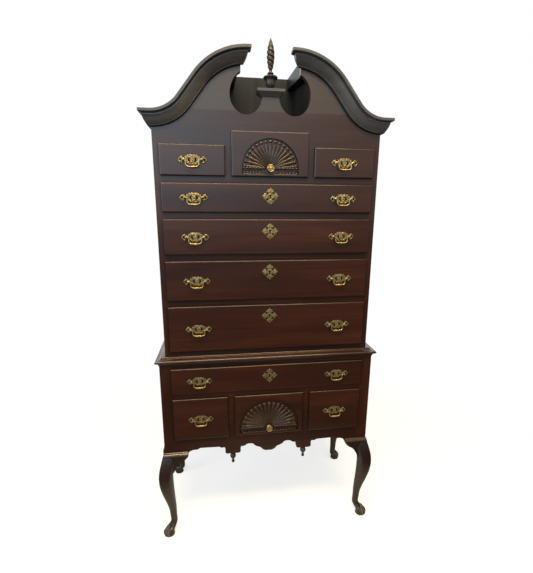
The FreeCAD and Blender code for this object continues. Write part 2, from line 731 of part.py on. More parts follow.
def bracket_curves():
    """Knee bracket seen square on, running in from the case corner."""
    top = val("leg_height")
    length, drop, tip = val("bracket_length"), val("bracket_drop"), val("bracket_tip")
    heel, toe, root = val("bracket_heel"), val("bracket_toe"), val("knee_in")
    bend = (-length + val("bracket_bend"), top - drop * val("bracket_bend_share"))
    points = [(-root, top), (-root, top - drop - heel), (-root - toe, top - drop), bend,
              (-length, top - tip), (-length, top), (-root, top)]
    return chain(points, [0, 0, -0.06, 0.08, 0, 0])


def cabriole_leg(name, turns, x, y):
    """Leg with its post and knee brackets; built for the rear right corner, then turned."""
    body = new_body(name)
    sections = []
    for index, (height, inner, outer, roundness) in enumerate(leg_stations()):
        sections.append(outline(body, "%s_section_%d" % (name, index), "XY_Plane",
                                "%.3f" % height, rounded_square(inner, outer, roundness)))
    loft = body.newObject("PartDesign::AdditiveLoft", name + "_loft")
    loft.Profile = sections[0]
    loft.Sections = sections[1:]
    across = ("-frame_thick - post_side", "-frame_thick")
    post = rectangle(body, name + "_post", "XY_Plane", "leg_height", across, across)
    pad(body, post, "apron_height - board_thick")
    along_x = outline(body, name + "_bracket_x", "XZ_Plane", "-bracket_proud",
                      bracket_curves())
    pad(body, along_x, "bracket_proud + frame_thick + bracket_lap")
    along_y = outline(body, name + "_bracket_y", "YZ_Plane", "bracket_proud",
                      bracket_curves())
    pad(body, along_y, "bracket_proud + side_thick + bracket_lap", reverse=True)
    place(body, x, y, "0", Rotation(Vector(0, 0, 1), 90 * turns))
    return body


def make_legs():
    """Four equal legs, a quarter turn apart."""
    for name, turns, x, y in (("leg_back_right", 0, "lower_half", "lower_rear"),
                              ("leg_back_left", 1, "-lower_half", "lower_rear"),
                              ("leg_front_left", 2, "-lower_half", "lower_front"),
                              ("leg_front_right", 3, "lower_half", "lower_front")):
        finish(cabriole_leg(name, turns, x, y), name)


def pendant(name, x):
    """Turned drop under the apron: bulb, neck and ball."""
    body = new_body(name)
    length, ball = val("pendant_length"), val("pendant_ball")
    wide, neck = val("pendant_body"), val("pendant_neck")
    points = [(0, 0), (0.8 * wide, 0), (wide, -length / 4), (neck, neck + 2 * ball - length),
              (neck, 2 * ball - length), (ball, ball - length), (0, -length), (0, 0)]
    bulge = [0, 0.06, 0.14, 0, 0.15, 0.2, 0]
    profile = outline(body, name + "_profile", "XZ_Plane", "0", turned(chain(points, bulge)))
    revolve(body, profile)
    return place(body, x, "lower_front + frame_thick / 2", "leg_height - drop_below")


def make_pendants():
    """Two equal pendants under the drop blocks."""
    middle = "(drop_inner + drop_outer) / 2"
    pair = [pendant("pendant_right", middle), pendant("pendant_left", "-" + middle)]
    finish(group("apron_pendants", pair), "apron_pendants")


# ---------------------------------------------------------------- mouldings and pediment

def make_waist():
    """Moulding round the joint, on the lower case and against the upper one."""
    body = new_body("waist_moulding")
    path = new_sketch(body, "waist_path", "XY_Plane", "lower_top")
    half, front, rear = val("lower_half"), val("lower_front"), val("lower_rear")
    corners = [(-half, rear), (-half, front), (half, front), (half, rear)]
    for curve in chain(corners, (0, 0, 0)):
        path.addGeometry(curve, False)
    out, drop, rise = val("waist_projection"), val("waist_drop"), val("waist_rise")
    low, high = val("lower_top") - drop, val("lower_top") + rise
    level = val("lower_top")
    inner = val("side_setback + side_thick / 2")
    nose, bead = -half - out, val("waist_bead")
    cove = (-half + val("waist_cove_foot"), level + val("waist_cove_height"))
    points = [(-half, level), (-half, low), (-half - 2, low), (nose + 3, level - bead),
              (nose + 1, level - bead + 1), (nose + 1, level + bead), (nose + 4, level + bead),
              cove, (-half + val("waist_cove_top"), high), (-half + inner, high),
              (-half + inner, level), (-half, level)]
    bulge = [0, 0, -0.15, 0, 0.35, 0, -0.12, 0.3, 0, 0, 0]
    profile = outline(body, "waist_profile", "XZ_Plane", "-(lower_rear)", chain(points, bulge))
    sweep = body.newObject("PartDesign::AdditivePipe", "waist_sweep")
    sweep.Profile = profile
    sweep.Spine = path
    sweep.Transition = "Right corner"
    seat = rectangle(body, "waist_seat", "XY_Plane", "lower_top + 2 * waist_rise",
                     ("-upper_half", "upper_half"), ("upper_front", "lower_rear + frame_thick"))
    pocket(body, seat, "2 * waist_rise")
    finish(body, "waist_moulding")


def scroll_points(offset, outset=0):
    """Turning points of the right swan neck, at a distance above its lower edge.

    Returns (outer end, first bend's middle, its end, second bend's start, its centre, radius).
    """
    turn = math.radians(val("scroll_turn"))
    half, base = val("upper_half"), val("shoulder")
    lower, upper = val("lower_radius"), val("upper_radius")
    run = half - val("crown_half")
    straight = (run - (lower + upper) * math.sin(turn)) / math.cos(turn)

    def on_lower(angle):
        radius = lower - offset
        return (half - radius * math.sin(angle), base + lower - radius * math.cos(angle))

    end = (half - lower * math.sin(turn), base + lower - lower * math.cos(turn))
    start = (end[0] - straight * math.cos(turn), end[1] + straight * math.sin(turn))
    centre = (start[0] - upper * math.sin(turn), start[1] - upper * math.cos(turn))
    radius = upper + offset
    upper_start = (centre[0] + radius * math.sin(turn), centre[1] + radius * math.cos(turn))
    first = math.asin(outset / (lower - offset))
    return (on_lower(first), on_lower((first + turn) / 2), on_lower(turn), upper_start, centre,
            radius)


def scroll_curves(offset, inner, outset="0"):
    """Curves of the swan neck, from a distance inside the case's side in to x = inner."""
    outer, middle, bend_end, bend_start, centre, radius = scroll_points(offset, val(outset))
    first = math.asin((bend_start[0] - centre[0]) / radius)
    last = math.asin((inner - centre[0]) / radius)

    def on_upper(angle):
        return (centre[0] + radius * math.sin(angle), centre[1] + radius * math.cos(angle))

    return [arc(outer, middle, bend_end), line(bend_end, bend_start),
            arc(bend_start, on_upper((first + last) / 2), on_upper(last))]


def reflect(curves):
    """The same curves on the left, run the other way."""
    result = []
    for curve in reversed(curves):
        ends = [(-point.x, point.y) for point in (curve.EndPoint, curve.StartPoint)]
        if isinstance(curve, Part.LineSegment):
            result.append(line(*ends))
        else:
            half_way = curve.value((curve.FirstParameter + curve.LastParameter) / 2)
            result.append(arc(ends[0], (-half_way.x, half_way.y), ends[1]))
    return result


def crest_curves(inner, flat, outset):
    """Arched top of a board, level at the given height between x = -inner and inner."""
    right = scroll_curves(val("board_offset"), inner, outset)
    end = right[-1].EndPoint
    step = [line((end.x, end.y), (inner, flat)), line((inner, flat), (-inner, flat)),
            line((-inner, flat), (-end.x, end.y))]
    return right + step + reflect(right)


def arched_board(name, front, thick, base, inner, flat, outset="0"):
    """Board with the bonnet's arched outline, standing across the case."""
    body = new_body(name)
    top = crest_curves(inner, flat, outset)
    start, end = top[0].StartPoint, top[-1].EndPoint
    curves = top + chain([(end.x, end.y), (end.x, base), (start.x, base), (start.x, start.y)],
                         (0, 0, 0))
    face = outline(body, name + "_outline", "XZ_Plane", "-(%s)" % front, curves)
    pad(body, face, thick, reverse=True)
    return body


def half_ellipse(centre, half, rise):
    """Half of an ellipse above its centre, or below it where the rise is negative."""
    side = Vector(-math.copysign(half, rise), 0, 0)
    tip = Vector(0, rise, 0)
    ellipse = Part.Ellipse(centre + tip, centre + side, centre)
    return Part.ArcOfEllipse(ellipse, -math.pi / 2, math.pi / 2)


def make_pediment():
    """Front board with the opening between the scrolls and the two egg-shaped lights."""
    inner = val("opening_half")
    body = arched_board("pediment_board", "upper_front", "frame_thick", val("pediment_base"),
                        inner, val("egg_height"))
    behind = "-(upper_front) - 2 * frame_thick"
    through = "4 * frame_thick"
    for side, sign in (("right", 1), ("left", -1)):
        centre = Vector(sign * val("egg_centre"), val("egg_height"), 0)
        curves = [half_ellipse(centre, val("egg_half"), -val("egg_lower")),
                  half_ellipse(centre, val("egg_half"), val("egg_upper"))]
        pocket(body, outline(body, "egg_" + side, "XZ_Plane", behind, curves), through,
               reverse=True)
    gap = rectangle(body, "neck_gap", "XZ_Plane", behind, ("-egg_centre", "egg_centre"),
                    ("neck_top", "egg_height + egg_upper"))
    pocket(body, gap, through, reverse=True)
    notch = rectangle(body, "centre_notch", "XZ_Plane", behind, TOP_CENTRE,
                      ("pediment_base - board_thick", "top_base + centre_top_height"))
    pocket(body, notch, through, reverse=True)
    finish(body, "pediment_board")


def swan_neck():
    """Right-hand moulding: the front run, the return along the side and the one at the scroll."""
    half, front, rear = val("upper_half"), val("upper_front"), val("upper_rear")
    inner, base = val("opening_half"), val("shoulder")
    tall, out = val("cornice_height"), val("cornice_projection")
    bead, step, neck = val("cornice_bead"), val("cornice_step"), val("cornice_neck")
    soffit = tall - val("cornice_fillet") - 2 * bead
    reach = 1.3 * out
    outer_end = half + reach
    curves = [line((outer_end, base), (half, base))] + scroll_curves(0, val("crown_half"))
    crown = curves[-1].EndPoint
    curves.append(line((crown.x, crown.y), (inner - reach, crown.y)))
    upright = Placement(Vector(0, front, 0), FORWARD)
    edges = []
    for curve in curves:
        edge = curve.toShape()
        edge.Placement = upright
        edges.append(edge)
    path = Part.Wire(edges)
    profile_points = [(0, 0), (step, 0), (step + bead, bead), (neck, soffit - bead),
                      (neck, soffit), (out - bead, soffit + bead), (out, soffit + 2 * bead),
                      (out, tall), (0, tall), (0, 0)]
    profile_bulge = [0, -0.2, -0.05, 0, 0.1, -0.1, 0, 0, 0]
    section = []
    for curve in chain(profile_points, profile_bulge):
        edge = curve.toShape()
        edge.Placement = Placement(Vector(outer_end, front, base),
                                   Rotation(Vector(0, -1, 0), Vector(0, 0, 1), Vector(-1, 0, 0),
                                            "ZXY"))
        section.append(edge)
    profile = Part.Wire(section)
    run = path.makePipeShell([profile], True, False)
    mitres = Part.makePolygon([Vector(inner, front, 0), Vector(inner - reach, front - reach, 0),
                               Vector(half + reach, front - reach, 0), Vector(half, front, 0),
                               Vector(inner, front, 0)])
    keep = Part.Face(mitres).extrude(Vector(0, 0, 2 * base))
    run = run.common(keep)
    pieces = [run]
    for face in run.Faces:
        normal = face.normalAt(0, 0)
        if abs(abs(normal.x) - math.sqrt(0.5)) > 1e-3 or abs(normal.z) > 1e-3:
            continue
        at_side = face.CenterOfMass.x > (half + inner) / 2
        stop = rear if at_side else front
        strip = face.extrude(Vector(0, stop - front + 2 * reach, 0))
        room = Part.makeBox(2 * outer_end, stop - front + reach, 2 * base,
                            Vector(-outer_end, front - reach, 0))
        pieces.append(strip.common(room))
    return pieces[0].multiFuse(pieces[1:]).removeSplitter()


def make_swan_necks():
    """Right and left mouldings, mirror images."""
    right = swan_neck()
    for label, shape in (("scroll_moulding_right", right),
                         ("scroll_moulding_left", right.mirror(Vector(), Vector(1, 0, 0)))):
        solid = DOC.addObject("Part::Feature", label)
        solid.Shape = shape.Solids[0]
        solid.Placement = Placement()
        finish(solid, label)


def roof_panel(name, sign):
    """Thin bent panel behind the moulding, from the side in to the well."""
    body = new_body(name)
    inner = val("well_half + well_rail")
    under = scroll_curves(val("board_offset"), inner)
    over = scroll_curves(val("board_offset + roof_thick"), inner)
    if sign < 0:
        under, over = reflect(under)[::-1], reflect(over)[::-1]
    corners = [(piece.x, piece.y) for piece in (
        scroll_end(under[0], sign), scroll_end(over[0], sign))]
    tips = [(piece.x, piece.y) for piece in (
        scroll_tip(under[-1], sign), scroll_tip(over[-1], sign))]
    curves = under + over + [line(*corners), line(*tips)]
    face = outline(body, name + "_outline", "XZ_Plane", "-(upper_front)", curves)
    pad(body, face, "well_depth", reverse=True)
    return body


def scroll_end(curve, sign):
    """End of an outer curve at the case's side."""
    return curve.StartPoint if sign > 0 else curve.EndPoint


def scroll_tip(curve, sign):
    """End of an inner curve at the well."""
    return curve.EndPoint if sign > 0 else curve.StartPoint


def make_bonnet():
    """Roof panels, and the well between them: partitions, rails and back board."""
    finish(group("bonnet_roof", [roof_panel("roof_right", 1), roof_panel("roof_left", -1)]),
           "bonnet_roof")
    front = "upper_front + frame_thick"
    rear = "upper_front + well_depth"
    inner = "well_half + well_rail"
    back = arched_board("well_back", "upper_front + well_depth - well_wall", "well_wall",
                        val("upper_roof"), val(inner), val("well_top"), "well_inset")
    pieces = [back]
    crest = scroll_curves(val("board_offset"), val(inner + " + well_splay + well_wall"))[-1]
    depth = (front, rear + " - well_wall")
    for side, sign in (("right", ""), ("left", "-")):
        wall = new_body("well_wall_" + side)
        splayed = [(inner + " + well_splay", depth[0]), (inner, depth[1]),
                   (inner + " + well_wall", depth[1]),
                   (inner + " + well_splay + well_wall", depth[0])]
        corners = [("%s(%s)" % (sign, across), deep) for across, deep in splayed]
        plan = polygon(wall, "well_wall_plan_" + side, "XY_Plane", "upper_roof", corners)
        pad(wall, plan, "%.3f - upper_roof - fit" % crest.EndPoint.y)
        rail = new_body("well_rail_" + side)
        corners = [(depth[0], "rail_front_base"), (depth[1], "well_top - rail_rear_height"),
                   (depth[1], "well_top"), (depth[0], "rail_front_base + rail_front_height")]
        offset = "well_half" if sign == "" else "-well_half - well_rail"
        shape = polygon(rail, "well_rail_outline_" + side, "YZ_Plane", offset, corners)
        pad(rail, shape, "well_rail")
        pieces += [wall, rail]
    finish(group("bonnet_well", pieces), "bonnet_well")


def make_cap():
    """Moulded cap on the plinth."""
    body = new_body("plinth_cap")
    middle = "(upper_front + frame_thick / 2)"
    thin = "frame_thick / 2"
    wide = "(frame_thick / 2 + cap_half - cap_lower_half)"
    step = "cap_half"
    low = rectangle(body, "cap_foot", "XY_Plane", "neck_top", ("-cap_lower_half", "cap_lower_half"),
                    ("%s - %s" % (middle, thin), "%s + %s" % (middle, thin)))
    high = rectangle(body, "cap_head", "XY_Plane", "neck_top + cap_height - cap_slab",
                     ("-%s" % step, step),
                     ("%s - %s" % (middle, wide), "%s + %s" % (middle, wide)))
    cove = body.newObject("PartDesign::AdditiveLoft", "cap_cove")
    cove.Profile = low
    cove.Sections = [high]
    slab = rectangle(body, "cap_slab", "XY_Plane", "neck_top + cap_height - cap_slab",
                     ("-%s" % step, step),
                     ("%s - %s" % (middle, wide), "%s + %s" % (middle, wide)))
    pad(body, slab, "cap_slab")
    finish(body, "plinth_cap")


def make_finial():
    """Turned urn with a flame, standing on the cap."""
    body = new_body("finial")
    foot, waist, waist_z = val("finial_foot"), val("finial_waist"), val("finial_waist_height")
    urn, urn_z, rim = val("urn_radius"), val("urn_height"), val("urn_rim")
    ring, ring_z = val("ring_radius"), val("ring_height")
    flame, belly, top = val("flame_radius"), val("flame_belly"), val("finial_height")
    points = [(0, 0), (foot, 0), (waist, waist_z), (urn - rim, urn_z - 2 * rim), (urn, urn_z - rim),
              (urn, urn_z), (ring, ring_z - 3), (ring, ring_z + 2), (ring - 4, ring_z + 4),
              (flame, belly), (0, top), (0, 0)]
    bulge = [0, 0.15, -0.15, 0, 0, -0.15, 0, 0, -0.08, -0.08, 0]
    profile = outline(body, "finial_profile", "XZ_Plane", "0", turned(chain(points, bulge)))
    revolve(body, profile)
    place(body, "0", "upper_front + frame_thick / 2", "neck_top + cap_height")
    finish(body, "finial")


# ---------------------------------------------------------------- whole model

def check(objects):
    """Stop on any failed object, or any sub-part that is empty or not valid."""
    for obj in DOC.Objects:
        faults = {"Invalid", "Error"} & set(obj.State)
        if faults:
            raise RuntimeError("%s is %s" % (obj.Label, ", ".join(sorted(faults))))
    for obj in objects:
        if obj.Shape.isNull() or not obj.Shape.isValid() or not obj.Shape.Solids:
            raise RuntimeError("%s has no valid solid" % obj.Label)


def export(objects):
    """Write one STEP file for each sub-part."""
    os.makedirs("parts", exist_ok=True)
    for obj in objects:
        obj.Shape.exportStep("parts/%s.step" % obj.Label)


def main():
    """Build every sub-part, check them all and write their files."""
    make_drawers()
    make_brass()
    make_upper_frame()
    make_lower_frame()
    make_dust_boards()
    make_sides_and_backs()
    make_legs()
    make_pendants()
    make_waist()
    make_pediment()
    make_swan_necks()
    make_bonnet()
    make_cap()
    make_finial()
    DOC.recompute()
    check(PARTS)
    export(PARTS)
    print("%d sub-parts" % len(PARTS))


main()
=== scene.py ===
"""Looks of a bonnet-top highboy: polished mahogany, carved shells and aged brass.

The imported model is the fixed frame. Everything is placed in metres, in that same frame:
+Z up, the drawer fronts face -Y and x = 0 is the middle of the case. The sizes of the
small pieces are written in millimetres, and the comments name those that are in metres.
"""

import json
import logging
import math
from contextlib import contextmanager
from dataclasses import dataclass, field
from enum import Enum
from typing import Callable, Iterator, Sequence

import bmesh
import bpy
from mathutils import Matrix, Vector

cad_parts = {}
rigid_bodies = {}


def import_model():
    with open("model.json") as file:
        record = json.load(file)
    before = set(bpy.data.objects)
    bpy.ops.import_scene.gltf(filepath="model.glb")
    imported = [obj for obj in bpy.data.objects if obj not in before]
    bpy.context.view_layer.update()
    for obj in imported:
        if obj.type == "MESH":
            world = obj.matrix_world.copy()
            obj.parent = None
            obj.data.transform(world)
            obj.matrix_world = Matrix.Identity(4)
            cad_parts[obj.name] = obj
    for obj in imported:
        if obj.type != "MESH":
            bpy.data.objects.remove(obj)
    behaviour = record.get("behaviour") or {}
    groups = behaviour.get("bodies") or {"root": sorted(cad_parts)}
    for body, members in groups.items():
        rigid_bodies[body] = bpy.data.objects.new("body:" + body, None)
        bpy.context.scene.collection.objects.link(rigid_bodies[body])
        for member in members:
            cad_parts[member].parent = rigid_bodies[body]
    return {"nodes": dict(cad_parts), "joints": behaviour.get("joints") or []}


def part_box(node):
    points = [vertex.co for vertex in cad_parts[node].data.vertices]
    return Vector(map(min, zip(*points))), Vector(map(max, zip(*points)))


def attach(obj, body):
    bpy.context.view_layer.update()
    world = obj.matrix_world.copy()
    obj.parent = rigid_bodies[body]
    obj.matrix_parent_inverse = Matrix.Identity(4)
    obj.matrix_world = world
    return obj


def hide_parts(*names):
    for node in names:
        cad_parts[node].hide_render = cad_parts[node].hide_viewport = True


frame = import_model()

Point = tuple[float, float]
Place = tuple[float, float, float]
Knot = tuple[float, float, float, float]      # x, y, z and radius of a bent bar
Outline = tuple[Point, ...]                   # (across, up), or (radius, height) if turned
Route = tuple[Place, ...]                     # (across, up, radius) of a line on a plate
Colour = tuple[float, float, float]
Piece = bpy.types.Object
Finish = bpy.types.Material
Socket = bpy.types.NodeSocket

log = logging.getLogger("highboy")
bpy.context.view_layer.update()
MM = 0.001
WELD = 0.00002                 # vertices nearer than this are one, in metres
MASK_EDGE = 0.0004             # how softly one finish gives way to another, in metres
LAID_FORWARD = Matrix.Rotation(math.radians(90), 4, "X")      # turns +Z to -Y
BLACK = (0.0, 0.0, 0.0)
WHITE = (1.0, 1.0, 1.0)
CORNERS = [(x, y, "%s_%s" % (end, side)) for x, side in ((-1, "left"), (1, "right"))
           for y, end in ((-1, "front"), (1, "back"))]       # of the case


class Crisp(Enum):
    """How a piece is made; the value is the angle past which its edges stay crisp."""
    TURNED = 35
    CUT = 40
    BENT = 50
    CARVED = 60


# ---------------------------------------------------------------- the bench

def clear_selection() -> None:
    """Leave edit mode and select nothing."""
    if bpy.context.object is not None and bpy.context.object.mode != "OBJECT":
        bpy.ops.object.mode_set(mode="OBJECT")
    bpy.ops.object.select_all(action="DESELECT")


def take(*objects: Piece) -> Piece:
    """Select only these objects and make the first one active.

    Args:
        objects: what to select.

    Returns:
        The first of them.
    """
    clear_selection()
    for obj in objects:
        obj.select_set(True)
    bpy.context.view_layer.objects.active = objects[0]
    return objects[0]


@contextmanager
def editing(obj: Piece) -> Iterator[None]:
    """Hold an object in edit mode, with nothing selected at first.

    Args:
        obj: the mesh object to edit.

    Yields:
        Nothing; the edit is made meanwhile.
    """
    take(obj)
    bpy.ops.object.mode_set(mode="EDIT")
    bpy.ops.mesh.select_mode(type="VERT")
    bpy.ops.mesh.select_all(action="DESELECT")
    yield
    bpy.ops.object.mode_set(mode="OBJECT")


def choose(obj: Piece, test: Callable[[Vector], bool]) -> None:
    """Select the vertices of the edited mesh that pass a test, and no others.

    Args:
        obj: the object in edit mode.
        test: tells from a vertex's place whether it is wanted.
    """
    bpy.ops.mesh.select_mode(type="VERT")
    mesh = bmesh.from_edit_mesh(obj.data)
    for vert in mesh.verts:
        vert.select = test(vert.co)
    mesh.select_flush_mode()
    bmesh.update_edit_mesh(obj.data)


def linked(name: str, data: bpy.types.ID) -> Piece:
    """Put new data in the scene.

    Args:
        name: the object's name.
        data: its mesh, curve, light or camera.

    Returns:
        The object that holds the data.
    """
    obj = bpy.data.objects.new(name, data)
    bpy.context.collection.objects.link(obj)
    return obj


def settle(obj: Piece, name: str = "") -> Piece:
    """Apply an object's place, turn and scale to its mesh, and name it.

    Args:
        obj: the object.
        name: its new name, or nothing to keep the old one.

    Returns:
        The same object.
    """
    take(obj)
    bpy.ops.object.transform_apply(location=True, rotation=True, scale=True)
    if name:
        obj.name = name
        obj.data.name = name
    return obj


def smooth(obj: Piece, crisp: Crisp) -> Piece:
    """Shade smooth between the crisp edges.

    Args:
        obj: the mesh object.
        crisp: how it is made.

    Returns:
        The same object.
    """
    take(obj)
    bpy.ops.object.shade_smooth_by_angle(angle=math.radians(crisp.value))
    return obj


def heal(obj: Piece) -> Piece:
    """Merge doubled vertices, then turn every face outwards.

    Args:
        obj: the mesh object.

    Returns:
        The same object.
    """
    with editing(obj):
        bpy.ops.mesh.select_all(action="SELECT")
        bpy.ops.mesh.remove_doubles(threshold=WELD)
        bpy.ops.mesh.normals_make_consistent(inside=False)
    return obj


def join(pieces: Sequence[Piece], name: str) -> Piece:
    """Make one object of several.

    Args:
        pieces: the parts, the first of which takes in the others.
        name: the name of the whole.

    Returns:
        The whole.
    """
    first = take(*pieces)
    if len(pieces) > 1:
        bpy.ops.object.join()
    return settle(first, name)


def moved(x: float = 0.0, y: float = 0.0, z: float = 0.0) -> Matrix:
    """A shift, in metres."""
    return Matrix.Translation(Vector((x, y, z)))


def copy_to(obj: Piece, place: Matrix, name: str) -> Piece:
    """Copy an object with its own mesh, and put the copy in place.

    Args:
        obj: the pattern piece, whose mesh is already at the origin.
        place: where the copy goes.
        name: the copy's name.

    Returns:
        The settled copy.
    """
    twin = linked(name, obj.data.copy())
    twin.matrix_world = place
    return settle(twin, name)


def discard(*objects: Piece) -> None:
    """Remove pattern pieces that have been copied."""
    for obj in objects:
        bpy.data.objects.remove(obj, do_unlink=True)


def ball(name: str, sizes: Place, place: Place, segments: int, rings: int) -> Piece:
    """Start a piece from a stretched ball.

    Args:
        name: the piece's name.
        sizes: its half sizes.
        place: its middle.
        segments: how many faces go round it.
        rings: how many go from pole to pole.

    Returns:
        The settled ball.
    """
    clear_selection()
    bpy.ops.mesh.primitive_uv_sphere_add(segments=segments, ring_count=rings, radius=1.0)
    made = bpy.context.object
    made.scale = [size * MM for size in sizes]
    made.location = [part * MM for part in place]
    return settle(made, name)


def spun(name: str, profile: Sequence[Point], steps: int, upright: bool = True) -> Piece:
    """Turn a half profile round its axis.

    Args:
        name: the piece's name.
        profile: (radius, height) pairs, from one end to the other.
        steps: how many faces go round.
        upright: True if height runs along +Z, False if it runs along -Y.

    Returns:
        The closed, smooth piece, with its axis through the origin.
    """
    mesh = bpy.data.meshes.new(name)
    verts = [(radius * MM, 0.0, height * MM) for radius, height in profile]
    mesh.from_pydata(verts, [(n, n + 1) for n in range(len(verts) - 1)], [])
    obj = linked(name, mesh)
    with editing(obj):
        bpy.ops.mesh.select_all(action="SELECT")
        bpy.ops.mesh.spin(steps=steps, angle=math.tau, center=(0, 0, 0), axis=(0, 0, 1))
    heal(obj)
    if not upright:
        obj.matrix_world = LAID_FORWARD
        settle(obj)
    return smooth(obj, Crisp.TURNED)


def thread(curve: bpy.types.Curve, places: Sequence[Place], closed: bool) -> bpy.types.Spline:
    """Run a smooth spline through places.

    Args:
        curve: the curve that takes the spline.
        places: the places.
        closed: True to join its ends.

    Returns:
        The spline.
    """
    spline = curve.splines.new("BEZIER")
    spline.bezier_points.add(len(places) - 1)
    spline.use_cyclic_u = closed
    for knot, place in zip(spline.bezier_points, places):
        knot.co = [part * MM for part in place]
        knot.handle_left_type = knot.handle_right_type = "AUTO"
    return spline


def as_mesh(obj: Piece, name: str, crisp: Crisp) -> Piece:
    """Turn a curve into a closed mesh.

    Args:
        obj: the curve object.
        name: the name of the mesh.
        crisp: how the piece is made.

    Returns:
        The settled mesh.
    """
    take(obj)
    bpy.ops.object.convert(target="MESH")
    return smooth(heal(settle(bpy.context.object, name)), crisp)


def flat_plate(name: str, outlines: Sequence[Sequence[Point]], thick: float, edge: float) -> Piece:
    """Cut a flat plate with holes and softened edges, standing in the XZ plane.

    Args:
        name: the piece's name.
        outlines: closed outlines as (across, up) pairs, the outer one first.
        thick: the plate's thickness; its back lies at y = 0.
        edge: how far its edges are rounded.

    Returns:
        The plate as a mesh.
    """
    curve = bpy.data.curves.new(name, "CURVE")
    curve.dimensions = "2D"
    curve.fill_mode = "BOTH"
    curve.extrude = (thick / 2 - edge) * MM
    curve.bevel_depth = edge * MM
    curve.offset = -edge * MM
    curve.bevel_resolution = 1
    curve.resolution_u = 4
    for points in outlines:
        thread(curve, [(across, up, 0.0) for across, up in points], closed=True)
    obj = linked(name, curve)
    obj.matrix_world = moved(0, -thick / 2 * MM, 0) @ LAID_FORWARD
    return as_mesh(obj, name, Crisp.CUT)


def bent_rod(name: str, route: Sequence[Knot], closed: bool = False, round_steps: int = 2) -> Piece:
    """Bend a round bar of changing thickness through places.

    Args:
        name: the piece's name.
        route: (x, y, z, radius) at each place.
        closed: True for a ring.
        round_steps: how finely the bar is rounded.

    Returns:
        The bar as a mesh.
    """
    curve = bpy.data.curves.new(name, "CURVE")
    curve.dimensions = "3D"
    curve.bevel_depth = MM
    curve.bevel_resolution = round_steps
    curve.use_fill_caps = True
    curve.resolution_u = 5
    spline = thread(curve, [knot[:3] for knot in route], closed)
    for knot, (_, _, _, radius) in zip(spline.bezier_points, route):
        knot.radius = radius
    return as_mesh(linked(name, curve), name, Crisp.BENT)


def both_ways(right: Sequence[tuple[float, ...]]) -> list[tuple[float, ...]]:
    """Places on the right side, carried on through their mirror images from last to first."""
    return list(right) + [(-out, *rest) for out, *rest in reversed(right) if out > 0.01]


def wear_finish(obj: Piece, finish: Finish) -> None:
    """Give every material slot of an object one finish.

    Args:
        obj: the object.
        finish: its finish.
    """
    if not obj.material_slots:
        obj.data.materials.append(finish)
    for slot in obj.material_slots:
        slot.material = finish


def mount(piece: Piece, body: str, finish: Finish, node: str = "") -> None:
    """Finish a piece and let it ride on its body.

    Args:
        piece: the piece, in its place.
        body: the body that carries it.
        finish: its finish.
        node: the node that it stands for, if there is one.
    """
    wear_finish(piece, finish)
    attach(piece, body)
    if node:
        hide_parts(node)
    log.info("made %s", piece.name)


# ---------------------------------------------------------------- finishes

